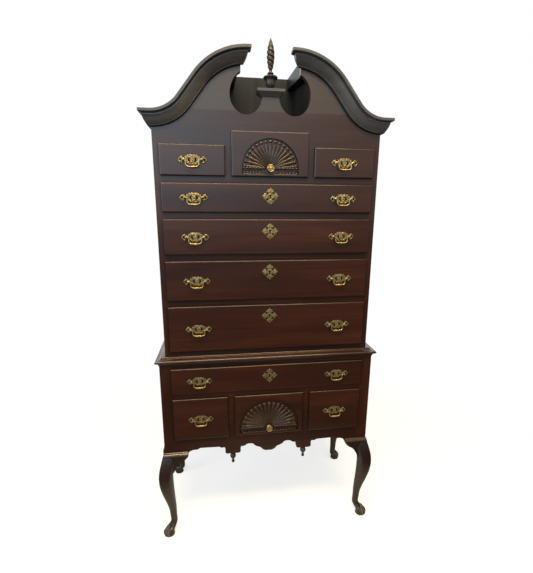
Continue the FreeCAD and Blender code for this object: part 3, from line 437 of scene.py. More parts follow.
class NodeTree:
    """Adds and links the nodes of one material or world."""

    def __init__(self, owner: bpy.types.ID) -> None:
        """Give a material or world an empty node tree.

        Args:
            owner: the material or world.
        """
        owner.use_nodes = True
        self.tree = owner.node_tree
        self.tree.nodes.clear()

    def add(self, kind: str, **settings: object) -> bpy.types.Node:
        """Add a node.

        Args:
            kind: its type.
            settings: its attributes.

        Returns:
            The node.
        """
        node = self.tree.nodes.new(kind)
        for key, value in settings.items():
            setattr(node, key, value)
        return node

    def link(self, source: Socket, target: Socket) -> None:
        """Join an output to an input."""
        self.tree.links.new(source, target)

    def fill(self, socket: Socket, value: object) -> None:
        """Feed an input.

        Args:
            socket: the input.
            value: an output to link to it, or the plain value that it takes.
        """
        if isinstance(value, Socket):
            self.link(value, socket)
        elif isinstance(value, tuple) and len(value) == 3 and socket.type == "RGBA":
            socket.default_value = (*value, 1.0)
        else:
            socket.default_value = value

    def maths(self, operation: str, first: Socket | float, second: Socket | float) -> Socket:
        """Work out a value from two.

        Args:
            operation: what is done with them.
            first: the first value.
            second: the second one.

        Returns:
            The result.
        """
        node = self.add("ShaderNodeMath", operation=operation)
        self.fill(node.inputs[0], first)
        self.fill(node.inputs[1], second)
        return node.outputs[0]

    def span(self, source: Socket, low: float, high: float, to_low: float = 0.0,
             to_high: float = 1.0, curve: str = "LINEAR") -> Socket:
        """Rescale a value from one range to another, and clamp it there.

        Args:
            source: the value.
            low: what gives to_low.
            high: what gives to_high.
            to_low: one end of the result.
            to_high: its other end.
            curve: how the result runs between them.

        Returns:
            The rescaled value.
        """
        node = self.add("ShaderNodeMapRange", interpolation_type=curve)
        self.link(source, node.inputs["Value"])
        ends = {"From Min": low, "From Max": high, "To Min": to_low, "To Max": to_high}
        for key, value in ends.items():
            node.inputs[key].default_value = value
        return node.outputs["Result"]

    def rising(self, source: Socket, low: float, high: float) -> Socket:
        """Soft step of a value from 0 at low to 1 at high."""
        return self.span(source, low, high, curve="SMOOTHSTEP")

    def blend(self, share: Socket | float, first: Socket | Colour, second: Socket | Colour,
              mode: str = "MIX") -> Socket:
        """Mix two colours.

        Args:
            share: how much of the second one is used.
            first: the first colour.
            second: the second one.
            mode: how they are mixed.

        Returns:
            The mixed colour.
        """
        node = self.add("ShaderNodeMix", data_type="RGBA", blend_type=mode)
        self.fill(node.inputs["Factor"], share)
        self.fill(node.inputs[6], first)
        self.fill(node.inputs[7], second)
        return node.outputs[2]

    def parts(self, vector: Socket) -> bpy.types.bpy_prop_collection:
        """Take a vector apart into its X, Y and Z.

        Args:
            vector: the vector.

        Returns:
            Three outputs, by name.
        """
        node = self.add("ShaderNodeSeparateXYZ")
        self.link(vector, node.inputs[0])
        return node.outputs

    def sight(self, mirrored: Socket) -> tuple[Socket, Socket]:
        """Tell which rays meet the pale background.

        Args:
            mirrored: how much of it polish and metal show.

        Returns:
            1 for rays that meet it straight or through glass, and the same for mirrored
            rays too, as far as they show it.
        """
        path = self.add("ShaderNodeLightPath").outputs
        straight = self.maths("MAXIMUM", path["Is Camera Ray"], path["Is Transmission Ray"])
        reflected = self.maths("MULTIPLY", path["Is Glossy Ray"], mirrored)
        return straight, self.maths("MAXIMUM", straight, reflected)


class NodeBoard(NodeTree):
    """The nodes of one material, round a Principled shader."""

    def __init__(self, name: str) -> None:
        """Start a material whose patterns lie on the object's own coordinates.

        Args:
            name: the material's name.
        """
        self.material = bpy.data.materials.new(name)
        super().__init__(self.material)
        output = self.add("ShaderNodeOutputMaterial")
        self.shader = self.add("ShaderNodeBsdfPrincipled")
        self.link(self.shader.outputs[0], output.inputs["Surface"])
        self.place = self.add("ShaderNodeTexCoord").outputs["Object"]

    def shade(self, **values: object) -> Finish:
        """Set or link the shader's own sockets.

        Args:
            values: what each socket takes; underscores stand for spaces.

        Returns:
            The finished material.
        """
        for key, value in values.items():
            self.fill(self.shader.inputs[key.replace("_", " ")], value)
        return self.material

    def stretched(self, scale: Sequence[float], shift: Sequence[float] = (0, 0, 0)) -> Socket:
        """Object coordinates, scaled and shifted.

        Args:
            scale: the scale along each axis.
            shift: the shift along each axis, after the scale.

        Returns:
            The coordinates.
        """
        node = self.add("ShaderNodeMapping")
        self.link(self.place, node.inputs["Vector"])
        node.inputs["Scale"].default_value = tuple(scale)
        node.inputs["Location"].default_value = tuple(shift)
        return node.outputs[0]

    def noise(self, vector: Socket, scale: float, detail: float, distortion: float = 0.0) -> Socket:
        """Cloudy value over some coordinates.

        Args:
            vector: the coordinates.
            scale: how many clouds there are to a metre.
            detail: how many finer layers they have.
            distortion: how far they are twisted.

        Returns:
            A value about 0.5.
        """
        node = self.add("ShaderNodeTexNoise")
        self.link(vector, node.inputs["Vector"])
        node.inputs["Scale"].default_value = scale
        node.inputs["Detail"].default_value = detail
        node.inputs["Distortion"].default_value = distortion
        return node.outputs["Fac"]

    def ramp(self, source: Socket, stops: Sequence[tuple[float, Colour]]) -> Socket:
        """Turn a value into a colour.

        Args:
            source: the value.
            stops: (value, colour) pairs that the colour runs through.

        Returns:
            The colour.
        """
        node = self.add("ShaderNodeValToRGB")
        self.link(source, node.inputs["Fac"])
        elements = node.color_ramp.elements
        while len(elements) < len(stops):
            elements.new(0.5)
        for element, (place, colour) in zip(elements, stops):
            element.position = place
            element.color = (*colour, 1.0)
        return node.outputs["Color"]

    def weighed(self, first: Socket, second: Socket, share: float) -> Socket:
        """Mix two values, with this share of the first one."""
        return self.maths("ADD", self.maths("MULTIPLY", first, share),
                          self.maths("MULTIPLY", second, 1.0 - share))

    def blend_vectors(self, share: Socket, first: Socket, second: Socket) -> Socket:
        """Mix two vectors.

        Args:
            share: how much of the second one is used.
            first: the first vector.
            second: the second one.

        Returns:
            The mixed vector.
        """
        node = self.add("ShaderNodeMix", data_type="VECTOR")
        self.fill(node.inputs["Factor"], share)
        self.link(first, node.inputs[4])
        self.link(second, node.inputs[5])
        return node.outputs[1]

    def bump(self, height: Socket, strength: float, distance: float,
             under: Socket | None = None) -> Socket:
        """Raise the surface by a height value.

        Args:
            height: the value.
            strength: how strongly it shows.
            distance: how high it rises, in metres.
            under: an earlier bump that this one lies on.

        Returns:
            The normal.
        """
        node = self.add("ShaderNodeBump")
        node.inputs["Strength"].default_value = strength
        node.inputs["Distance"].default_value = distance
        self.link(height, node.inputs["Height"])
        if under is not None:
            self.link(under, node.inputs["Normal"])
        return node.outputs["Normal"]

    def openness(self, reach: float, low: float, high: float) -> Socket:
        """Tell hollows and corners from the open surface.

        Args:
            reach: how far a neighbouring surface counts, in metres.
            low: the free share of the view that counts as deep in a hollow.
            high: the free share that counts as open.

        Returns:
            0 deep in a hollow, 1 in the open.
        """
        node = self.add("ShaderNodeAmbientOcclusion", samples=6)
        node.inputs["Distance"].default_value = reach
        return self.span(node.outputs["AO"], low, high)


class Grain(Enum):
    """Which way the fibres run; the value is the number of the axis along them."""
    ACROSS = 0
    UP = 2

    def scale(self, squeeze: float) -> tuple[float, ...]:
        """Coordinate scale that draws a pattern out along the fibres."""
        return tuple(squeeze if axis == self.value else 1.0 for axis in range(3))


@dataclass(frozen=True)
class Mahogany:
    """Dark red-brown mahogany under a worn satin polish."""
    name: str
    grain: Grain = Grain.ACROSS
    stile_from: float | None = None    # beyond this |x| the fibres stand upright, in metres
    raw_behind: float | None = None    # beyond this y the wood is unpolished pine, in metres
    haze_height: float | None = None   # above this height the wood is greyed with painted haze, in metres
    haze_edge: float = 0.0012          # how softly the painted haze begins, in metres
    shade_reach: float = 0.008               # how far painted shade reaches into corners and gaps, in metres
    polish: float = 0.55               # weight of the clear coat in the open
    ripple: float = 0.08               # how strongly the fibres show in the polish
    haze: float = 0.13                 # roughness of the clear coat
    gloss: float = 0.38                # specular level of the wood itself
    shift: float = 0.0                 # moves the figure, so that boards differ
    dark: Colour = (0.0200, 0.0050, 0.0026)
    middle: Colour = (0.0360, 0.0090, 0.0044)
    light: Colour = (0.0600, 0.0165, 0.0076)
    # grey that paints a pale haze of reflected light on the upper board
    haze_grey: Colour = (0.046, 0.042, 0.042)
    shade_tint: Colour = (0.10, 0.13, 0.18)      # what the painted shade in corners leaves of the colour
    raw_dark: Colour = (0.24, 0.135, 0.060)
    raw_light: Colour = (0.40, 0.25, 0.13)

    def fibres(self, board: NodeBoard, squeeze: float) -> Socket:
        """Coordinates drawn out along the fibres, upright in the stiles.

        Args:
            board: the material's nodes.
            squeeze: the scale along the fibres.

        Returns:
            The coordinates.
        """
        shift = (self.shift, self.shift * 0.7, self.shift * 1.3)
        along = board.stretched(self.grain.scale(squeeze), shift)
        if self.stile_from is None:
            return along
        upright = board.stretched(Grain.UP.scale(squeeze), shift)
        out = board.maths("ABSOLUTE", board.parts(board.place)["X"], 0.0)
        mask = board.span(out, self.stile_from, self.stile_from + MASK_EDGE)
        return board.blend_vectors(mask, along, upright)

    def figured(self, board: NodeBoard, streak: Socket, pores: Socket) -> Socket:
        """Colour of the wood, with painted haze above the haze height.

        Args:
            board: the material's nodes.
            streak: the fine streaks.
            pores: 0 between the pores, more in them.

        Returns:
            The colour.
        """
        figure = board.noise(self.fibres(board, 0.13), scale=9.0, detail=3.0, distortion=0.9)
        cloud = board.noise(board.stretched((0.5, 0.8, 1.0), (self.shift, 0, 0)),
                            scale=2.6, detail=2.0)
        colour = board.ramp(board.weighed(figure, streak, 0.70),
                            [(0.33, self.dark), (0.50, self.middle), (0.68, self.light)])
        tone = board.ramp(board.span(cloud, 0.34, 0.68, 0.78, 1.0), [(0.0, BLACK), (1.0, WHITE)])
        colour = board.blend(1.0, colour, tone, "MULTIPLY")
        colour = board.blend(pores, colour, self.dark)
        if self.haze_height is None:
            return colour
        # painted haze: above this height the colour is mixed towards grey
        above = board.span(board.parts(board.place)["Z"], self.haze_height,
                           self.haze_height + self.haze_edge)
        return board.blend(above, colour, board.blend(0.60, colour, self.haze_grey))

    def build(self) -> Finish:
        """Make the material.

        Returns:
            The finished material.
        """
        board = NodeBoard(self.name)
        streak = board.noise(self.fibres(board, 0.016), scale=190.0, detail=3.0, distortion=0.2)
        pores = board.span(board.noise(self.fibres(board, 0.04), scale=800.0, detail=2.0),
                           0.60, 0.72, 0.0, 0.35)
        colour = self.figured(board, streak, pores)
        shine: Socket | float = self.polish
        # painted shade: ambient occlusion darkens the colour and takes the coat away in corners and
        # gaps
        if self.shade_reach:
            open_air = board.openness(self.shade_reach, 0.58, 0.92)
            deep = board.blend(1.0, colour, self.shade_tint, "MULTIPLY")
            colour = board.blend(open_air, deep, colour)
            shine = board.span(open_air, 0.0, 1.0, 0.0, self.polish)
        rough = board.span(streak, 0.3, 0.7, 0.32, 0.40)
        if self.raw_behind is not None:
            raw = board.span(board.parts(board.place)["Y"], self.raw_behind,
                             self.raw_behind + MASK_EDGE)
            pine = board.ramp(streak, [(0.3, self.raw_dark), (0.7, self.raw_light)])
            colour = board.blend(raw, colour, pine)
            rough = board.maths("MAXIMUM", rough, board.maths("MULTIPLY", raw, 0.72))
        height = board.maths("SUBTRACT", streak, board.maths("MULTIPLY", pores, 0.9))
        return board.shade(Base_Color=colour, Roughness=rough, Specular_IOR_Level=self.gloss,
                           Coat_Weight=shine, Coat_Roughness=self.haze,
                           Normal=board.bump(height, self.ripple, 0.0005))


@dataclass(frozen=True)
class PlainWood:
    """Unpolished secondary wood of backs, dust boards and drawer boxes."""
    name: str
    grain: Grain = Grain.ACROSS
    light: Colour = (0.30, 0.185, 0.092)
    dark: Colour = (0.150, 0.082, 0.038)
    corner: Colour = (0.050, 0.028, 0.015)     # dust and shade in the corners

    def build(self) -> Finish:
        """Make the material.

        Returns:
            The finished material.
        """
        board = NodeBoard(self.name)
        figure = board.noise(board.stretched(self.grain.scale(0.07)),
                             scale=22.0, detail=4.0, distortion=1.1)
        streak = board.noise(board.stretched(self.grain.scale(0.02)), scale=160.0, detail=3.0)
        grime = board.noise(board.place, scale=4.0, detail=5.0, distortion=0.4)
        colour = board.ramp(board.weighed(figure, streak, 0.7),
                            [(0.36, self.dark), (0.62, self.light)])
        colour = board.blend(board.span(grime, 0.45, 0.75, 0.0, 0.5), colour, self.dark)
        colour = board.blend(board.openness(0.03, 0.2, 0.9), self.corner, colour)
        return board.shade(Base_Color=colour, Roughness=board.span(streak, 0.3, 0.7, 0.62, 0.80),
                           Specular_IOR_Level=0.25, Normal=board.bump(streak, 0.25, 0.0008))


@dataclass(frozen=True)
class AgedBrass:
    """Cast brass, brown in its hollows and rubbed bright where hands reach it."""
    name: str
    wear: float                    # 0 dull all over, 1 rubbed all over
    rubbed: Colour = (0.50, 0.385, 0.19)
    tarnish: Colour = (0.075, 0.047, 0.021)

    def build(self) -> Finish:
        """Make the material.

        Returns:
            The finished material.
        """
        board = NodeBoard(self.name)
        patches = board.noise(board.place, scale=210.0, detail=4.0, distortion=0.6)
        grit = board.noise(board.place, scale=1500.0, detail=2.0)
        handled = board.span(patches, 0.62 - 0.5 * self.wear, 0.80 - 0.35 * self.wear,
                             0.12 + 0.5 * self.wear, 1.0)
        share = board.maths("MULTIPLY", board.openness(0.005, 0.50, 0.95), handled)
        relief = board.bump(grit, 0.18, 0.0002, under=board.bump(patches, 0.25, 0.0006))
        return board.shade(Base_Color=board.blend(share, self.tarnish, self.rubbed),
                           Metallic=0.85, Roughness=board.span(share, 0.0, 1.0, 0.56, 0.31),
                           Normal=relief)


@dataclass(frozen=True)
class ShadowSheet:
    """Near-black sheet laid behind the lights of the pierced plates: painted shadow in their holes.
    """
    name: str
    dark: Colour = (0.004, 0.003, 0.003)
    light: Colour = (0.012, 0.009, 0.008)

    def build(self) -> Finish:
        """Make the material.

        Returns:
            The finished material.
        """
        board = NodeBoard(self.name)
        grime = board.noise(board.place, scale=600.0, detail=3.0)
        return board.shade(Base_Color=board.ramp(grime, [(0.3, self.dark), (0.7, self.light)]),
                           Roughness=0.8, Specular_IOR_Level=0.15,
                           Normal=board.bump(grime, 0.2, 0.0003))


@dataclass(frozen=True)
class StudioPaper:
    """Pale floor that the camera sees as white paper with the object's shadow on it."""
    name: str
    colour: Colour = (0.62, 0.62, 0.62)
    fleck: Colour = (0.6, 0.6, 0.6)
    room: Colour = (0.09, 0.055, 0.042)     # what bounced light and far reflections see of it
    lift: float = 0.62             # glow near the case, which only the camera sees
    fade: Point = (0.9, 1.9)       # from the middle, in metres: where the shadow fades out
    mirror: Point = (0.5, 0.9)     # and where polish stops showing the paper

    def build(self) -> Finish:
        """Make the material.

        Returns:
            The finished material.
        """
        board = NodeBoard(self.name)
        fine = board.noise(board.place, scale=40.0, detail=3.0)
        colour = board.blend(board.span(fine, 0.3, 0.7, 0.0, 0.03), self.colour, self.fleck)
        away = board.add("ShaderNodeVectorMath", operation="LENGTH")
        board.link(board.place, away.inputs[0])
        share = board.span(away.outputs["Value"], *self.fade)
        straight, seen = board.sight(board.span(away.outputs["Value"], *self.mirror, 1.0, 0.0))
        bare = board.blend(seen, self.room, board.blend(share, colour, BLACK))
        glow = board.span(share, 0.0, 1.0, self.lift, 1.0)
        return board.shade(Base_Color=bare, Roughness=0.9, Specular_IOR_Level=0.1,
                           Emission_Color=WHITE,
                           Emission_Strength=board.maths("MULTIPLY", glow, straight))


# ---------------------------------------------------------------- the case

@dataclass
class Casework:
    """Boards, frames, mouldings and drawers that keep their modelled shape."""
    plug: float = 0.011            # polished depth of a drawer behind the case's face, in metres
    upper_stile: float = 0.4151    # |x| at which the stiles begin, in metres
    lower_stile: float = 0.4161
    crest_haze_height: float = 1.856       # height in the pediment above which haze is painted, in metres
    by_start: tuple[tuple[str, str], ...] = (  # how a board's name begins, and its finish
        ("leg_", "mahogany_legs"), ("lower_frame", "mahogany_lower_frame"),
        ("lower_sides", "mahogany_upright"), ("upper_side", "mahogany_upright"),
        ("upper_frame", "mahogany_upper_frame"), ("pediment", "mahogany_crest"),
        ("scroll", "mahogany_cornice_painted_haze"), ("waist", "mahogany_waist"),
        ("bonnet_roof", "mahogany_cornice_painted_haze"), ("plinth", "mahogany_cornice_painted_haze"),
        ("finial", "mahogany_finial"), ("apron_pendants", "mahogany_finial"),
        ("bonnet_well", "mahogany_well"), ("upper_back", "pine_upright"))
    finishes: dict[str, Finish] = field(default_factory=dict)

    def boards(self) -> tuple[Mahogany | PlainWood, ...]:
        """List the finishes that boards, turnings and carvings share.

        Returns:
            The finishes, not yet made.
        """
        return (
            Mahogany("mahogany_across"),
            Mahogany("mahogany_upright", Grain.UP, shift=2.0),
            Mahogany("mahogany_legs", Grain.UP, polish=0.50, shift=2.0,
                     dark=(0.012, 0.0055, 0.0045), middle=(0.022, 0.010, 0.0075),
                     light=(0.038, 0.017, 0.012)),
            # painted haze greys the crest's board above the given height
            Mahogany("mahogany_crest", shade_reach=0.004, haze_height=self.crest_haze_height, shift=0.4),
            # grey colours paint the pale haze of reflected window light on the cornice, roof and
            # plinth
            Mahogany("mahogany_cornice_painted_haze", shade_reach=0.0, polish=0.9, haze=0.34, shift=5.0,
                     dark=(0.038, 0.035, 0.037), middle=(0.070, 0.065, 0.068),
                     light=(0.100, 0.094, 0.098)),
            # near-black grey colours paint the shade deep in the bonnet's well
            Mahogany("mahogany_well", Grain.UP, shade_reach=0.0, polish=0.0, gloss=0.20, shift=6.0,
                     dark=(0.010, 0.011, 0.013), middle=(0.020, 0.021, 0.024),
                     light=(0.040, 0.041, 0.045)),
            Mahogany("mahogany_finial", Grain.UP, shade_reach=0.004, polish=0.12, haze=0.40, shift=9.0,
                     dark=(0.020, 0.015, 0.013), middle=(0.034, 0.027, 0.025),
                     light=(0.054, 0.043, 0.039)),
            Mahogany("mahogany_waist", shade_reach=0.005, polish=1.0, ripple=0.30, shift=8.0),
            # the frames' wide painted shade draws dark lines round the drawers
            Mahogany("mahogany_upper_frame", shade_reach=0.020, stile_from=self.upper_stile, shift=1.1),
            Mahogany("mahogany_lower_frame", shade_reach=0.020, stile_from=self.lower_stile, shift=3.1),
            # lighter, golden colours partly paint the gold highlights of the carving
            Mahogany("mahogany_carved_painted_highlight", shade_reach=0.007, polish=0.45, shift=4.0,
                     dark=(0.020, 0.009, 0.005), middle=(0.040, 0.020, 0.011),
                     light=(0.068, 0.037, 0.019)),
            # light golden colours paint the gold highlights on the toes
            Mahogany("mahogany_toes_painted_highlight", Grain.UP, shade_reach=0.006, polish=1.0, shift=7.0,
                     dark=(0.030, 0.014, 0.007), middle=(0.080, 0.048, 0.022),
                     light=(0.150, 0.098, 0.044)),
            PlainWood("pine_across"),
            PlainWood("pine_upright", Grain.UP))

    def finish_for(self, node: str) -> Finish:
        """Choose the finish of a board that isn't a drawer.

        Args:
            node: the board's name.

        Returns:
            Its finish.
        """
        for start, name in self.by_start:
            if node.startswith(start):
                return self.finishes[name]
        return self.finishes["pine_across"]

    def drawer_finish(self, node: str) -> Finish:
        """Make the finish of one drawer: a polished front before a raw box.

        Args:
            node: the drawer's name, from which its figure follows.

        Returns:
            The finish.
        """
        frame_node = "lower_frame" if "lower" in node else "upper_frame"
        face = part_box(frame_node)[0].y
        order = sum(ord(letter) for letter in node) % 17
        return Mahogany("mahogany_" + node, raw_behind=face + self.plug, shift=0.37 * order).build()

    def dress(self) -> None:
        """Give every node of the frame its finish, apart from the brass."""
        self.finishes = {finish.name: finish.build() for finish in self.boards()}
        for node, obj in frame["nodes"].items():
            if node.startswith(("brass_", "bail_", "knob_")):
                continue
            if node.startswith("drawer_") and not node.endswith("_box"):
                wear_finish(obj, self.drawer_finish(node))
            else:
                wear_finish(obj, self.finish_for(node))
            log.info("finished %s", node)


# ---------------------------------------------------------------- brass

@dataclass
class Pull:
    """Bail pull: a pierced plate, two posts and a swinging bail."""
    spacing: float = 68.0          # between the posts
    plate: float = 2.0             # thickness
    edge: float = 0.5              # rounding of the plate
    standoff: float = 11.0         # from the drawer's face to the pin's axis
    boss_edge: float = 9.4         # inner radius of the lights beside the boss
    light_tip: float = 0.2         # width of these lights at their ends
    light_swell: float = 6.6       # what their middle has more than that
    light_turn: float = 13.0       # degrees between their points
    light_steps: int = 4           # points from their middle to an end
    plate_half: Outline = (        # right half, crested, with a pointed diamond at its end
        (0, 17.4), (4, 19.2), (8.5, 19.4), (12, 17.2), (15.5, 18.6), (19.5, 16.6), (21.8, 12.6),
        (25.6, 13.2), (28, 10.2), (28.4, 6.6), (31, 5.2), (35.2, 8.6), (41, 13), (45, 11.6),
        (49.6, 6.2), (54, 0), (49.6, -6.2), (45, -11.6), (41, -13), (35.2, -8.6), (31, -5.2),
        (28.6, -7.6), (25.8, -11.4), (20.6, -13.4), (16, -14.4), (12, -18), (6, -18.6),
        (0, -16.4))
    tip_light: Outline = (         # the right light between a post and the plate's tip
        (40.8, 0), (42.2, 4.6), (46, 3.8), (49.4, 0), (46, -3.8), (42.2, -4.6))
    post_profile: Outline = (
        (6.2, 1.0), (6.2, 2.9), (4.6, 3.6), (3.2, 4.8), (2.9, 6.6), (4.0, 8.4), (4.5, 11.0),
        (4.0, 13.2), (2.4, 14.6), (0, 15.0))
    boss_profile: Outline = (
        (8.8, 1.0), (8.8, 2.3), (8.0, 2.8), (7.0, 2.3), (5.6, 2.2), (3.6, 2.8), (1.8, 3.1),
        (0, 3.2))
    rim_route: Outline = (         # raised edge round the right post and its light, from the post
        (-5.2, 0), (1, 5.6), (8.4, 9.4), (12.2, 5.2), (16.6, 0), (12.2, -5.2), (8.4, -9.4),
        (1, -5.6))
    rim_radius: float = 0.9
    crest: Route = (               # raised line along the top, from the right to the middle
        (20, 10.2, 0.6), (14, 14.4, 0.8), (7, 15.2, 0.9), (0, 13.2, 1.0))
    skirt: Route = (               # raised line along the foot
        (20, -9.6, 0.6), (9, -13.8, 0.8), (0, -12.4, 0.8))
    bail_half: Route = (           # right half, from the pin to the middle of the grip
        (36, 0, 1.6), (31, -0.2, 1.7), (27.2, -1.0, 1.9), (24.4, -4.4, 2.0), (24.2, -9.5, 2.0),
        (24.8, -15, 2.2), (23, -20.6, 2.4), (18, -24.6, 2.6), (13, -25.6, 2.8),
        (11.6, -25.7, 3.6), (9.8, -25.8, 3.0), (5, -26, 3.6), (0, -26, 3.9))

    def crescent(self, side: int) -> list[Point]:
        """Outline of the pierced light that hugs the middle boss.

        Args:
            side: -1 for the left one, 1 for the right.

        Returns:
            The outline, out along its outer edge and back along the inner one.
        """
        outer, inner = [], []
        for step in range(-self.light_steps, self.light_steps + 1):
            angle = math.radians(step * self.light_turn)
            swell = self.light_swell * math.cos(step / self.light_steps * math.pi / 2)
            radius = self.boss_edge + self.light_tip + swell
            outer.append((side * radius * math.cos(angle), radius * math.sin(angle)))
            inner.append((side * self.boss_edge * math.cos(angle),
                          self.boss_edge * math.sin(angle)))
        return outer + inner[-2:0:-1]

    def post(self, middle: float) -> Piece:
        """Turn one post.

        Args:
            middle: how far it stands to the right of the plate's middle.

        Returns:
            The post, in its place on the plate.
        """
        post = spun("pull_post", self.post_profile, steps=16, upright=False)
        post.matrix_world = moved(middle * MM)
        return settle(post)

    def rim(self, middle: float, side: int) -> Piece:
        """Raised edge round the post at this place, and round the light on its outer side."""
        route = [(middle + side * u, -self.plate, v, self.rim_radius) for u, v in self.rim_route]
        return bent_rod("pull_rim", route, closed=True, round_steps=1)

    def beading(self, name: str, right: Route) -> Piece:
        """Raised line across the plate, given from the right to the middle."""
        route = [(u, -self.plate, v, radius) for u, v, radius in reversed(both_ways(right))]
        return bent_rod(name, route, round_steps=1)

    def casting(self) -> Piece:
        """Make plate, boss, raised edges and posts in one piece.

        Returns:
            The pattern, its back at y = 0 and its middle on the origin.
        """
        lights = [self.crescent(side) for side in (1, -1)]
        lights += [[(side * u, v) for u, v in self.tip_light] for side in (1, -1)]
        pieces = [flat_plate("pull_plate", [both_ways(self.plate_half), *lights], self.plate,
                             self.edge),
                  spun("pull_boss", self.boss_profile, steps=24, upright=False)]
        for side in (-1, 1):
            middle = side * self.spacing / 2
            pieces += [self.rim(middle, side), self.post(middle)]
        pieces += [self.beading("pull_crest", self.crest), self.beading("pull_skirt", self.skirt)]
        return join(pieces, "pull_pattern")

    def bail(self) -> Piece:
        """Pattern of the bail, with its pins on the X axis through the origin."""
        route = [(u, 0, v, radius) for u, v, radius in both_ways(self.bail_half)]
        return bent_rod("bail_pattern", route)


@dataclass
class KeyPlate:
    """Four-lobed key plate with its keyhole."""
    plate: float = 2.0             # thickness
    edge: float = 0.5              # rounding of the plate
    hole_place: float = 12.4       # of the four round lights, across and up
    hole_radius: float = 4.4
    hole_points: int = 8
    lobe: Outline = (              # from the top's point to the notch on its right
        (0.0, 34.0), (3.6, 29.2), (8.6, 26.6), (12.2, 24.8), (12.8, 20.8), (16.6, 16.6))
    keyhole: Outline = (           # right half
        (0, 6.0), (2.9, 4.8), (4.0, 2.0), (2.8, -0.8), (2.0, -2.2), (2.2, -9.0))
    petal: Route = ((0, 14.0, 0.4), (3.8, 19.0, 0.6), (0, 27.6, 0.5), (-3.8, 19.0, 0.6))
    rim: Route = ((0, 10.2, 0.7), (7.0, 0, 0.7), (0, -12, 0.7), (-7.0, 0, 0.7))

    def outline(self) -> list[Point]:
        """Draw a diamond with a pointed lobe at each corner and a notch in each side.

        Returns:
            The outline, clockwise from the top.
        """
        quarter = [*self.lobe, *((v, u) for u, v in reversed(self.lobe[1:-1]))]
        points: list[Point] = []
        for turn in range(4):
            angle = -turn * math.pi / 2
            points += [(u * math.cos(angle) - v * math.sin(angle),
                        u * math.sin(angle) + v * math.cos(angle)) for u, v in quarter]
        return points

    def hole(self, u: float, v: float) -> list[Point]:
        """Draw a round light.

        Args:
            u: its middle, across.
            v: its middle, up.

        Returns:
            The outline.
        """
        turns = [math.tau * n / self.hole_points for n in range(self.hole_points)]
        return [(u + self.hole_radius * math.cos(turn), v + self.hole_radius * math.sin(turn))
                for turn in turns]

    def ring(self, name: str, route: Route) -> Piece:
        """Closed raised line on the plate."""
        return bent_rod(name, [(u, -self.plate, v, radius) for u, v, radius in route],
                        closed=True, round_steps=1)

    def build(self) -> Piece:
        """Make the key plate.

        Returns:
            The pattern, its back at y = 0 and its keyhole on the origin.
        """
        both = (-self.hole_place, self.hole_place)
        holes = [self.hole(u, v) for u in both for v in both]
        pieces = [flat_plate("key_plate", [self.outline(), *holes, both_ways(self.keyhole)],
                             self.plate, self.edge)]
        for turn in range(4):
            petal = self.ring("key_petal", self.petal)
            petal.matrix_world = Matrix.Rotation(turn * math.pi / 2, 4, "Y")
            pieces.append(settle(petal))
        pieces.append(self.ring("key_rim", self.rim))
        return join(pieces, "key_plate_pattern")


@dataclass
class Knob:
    """Rosette knob of a carved drawer."""
    profile: Outline = (
        (0, 0.1), (10, 0.1), (10.2, 1.4), (7.4, 2.6), (5.0, 5.0), (4.8, 9.0), (6.6, 12.2),
        (11.6, 14.4), (13.8, 15.6), (14.0, 17.2), (12.8, 18.0), (11.4, 17.2), (10.8, 16.6),
        (4.8, 16.8), (4.6, 17.9), (3.2, 18.8), (0, 19.2))
    petals: int = 8
    petal_sizes: Place = (2.3, 1.5, 3.0)       # half sizes
    petal_place: Place = (0.0, -16.8, 7.7)

    def build(self, name: str, finish: Finish) -> None:
        """Turn the knob, lay its petals and set it on its drawer.

        Args:
            name: which carved drawer it belongs to.
            finish: its brass.
        """
        low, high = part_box("knob_" + name)
        rose = spun("rose", self.profile, steps=32, upright=False)
        petal = ball("petal", self.petal_sizes, self.petal_place, segments=10, rings=8)
        smooth(petal, Crisp.CARVED)
        petals = [copy_to(petal, Matrix.Rotation(math.tau * n / self.petals, 4, "Y"), "petal_copy")
                  for n in range(self.petals)]
        discard(petal)
        rose = join([rose, *petals], "rose")
        rose.matrix_world = moved((low.x + high.x) / 2, high.y, (low.z + high.z) / 2)
        mount(settle(rose, "dressed_knob_" + name), "drawer_%s_body" % name, finish,
              "knob_" + name)


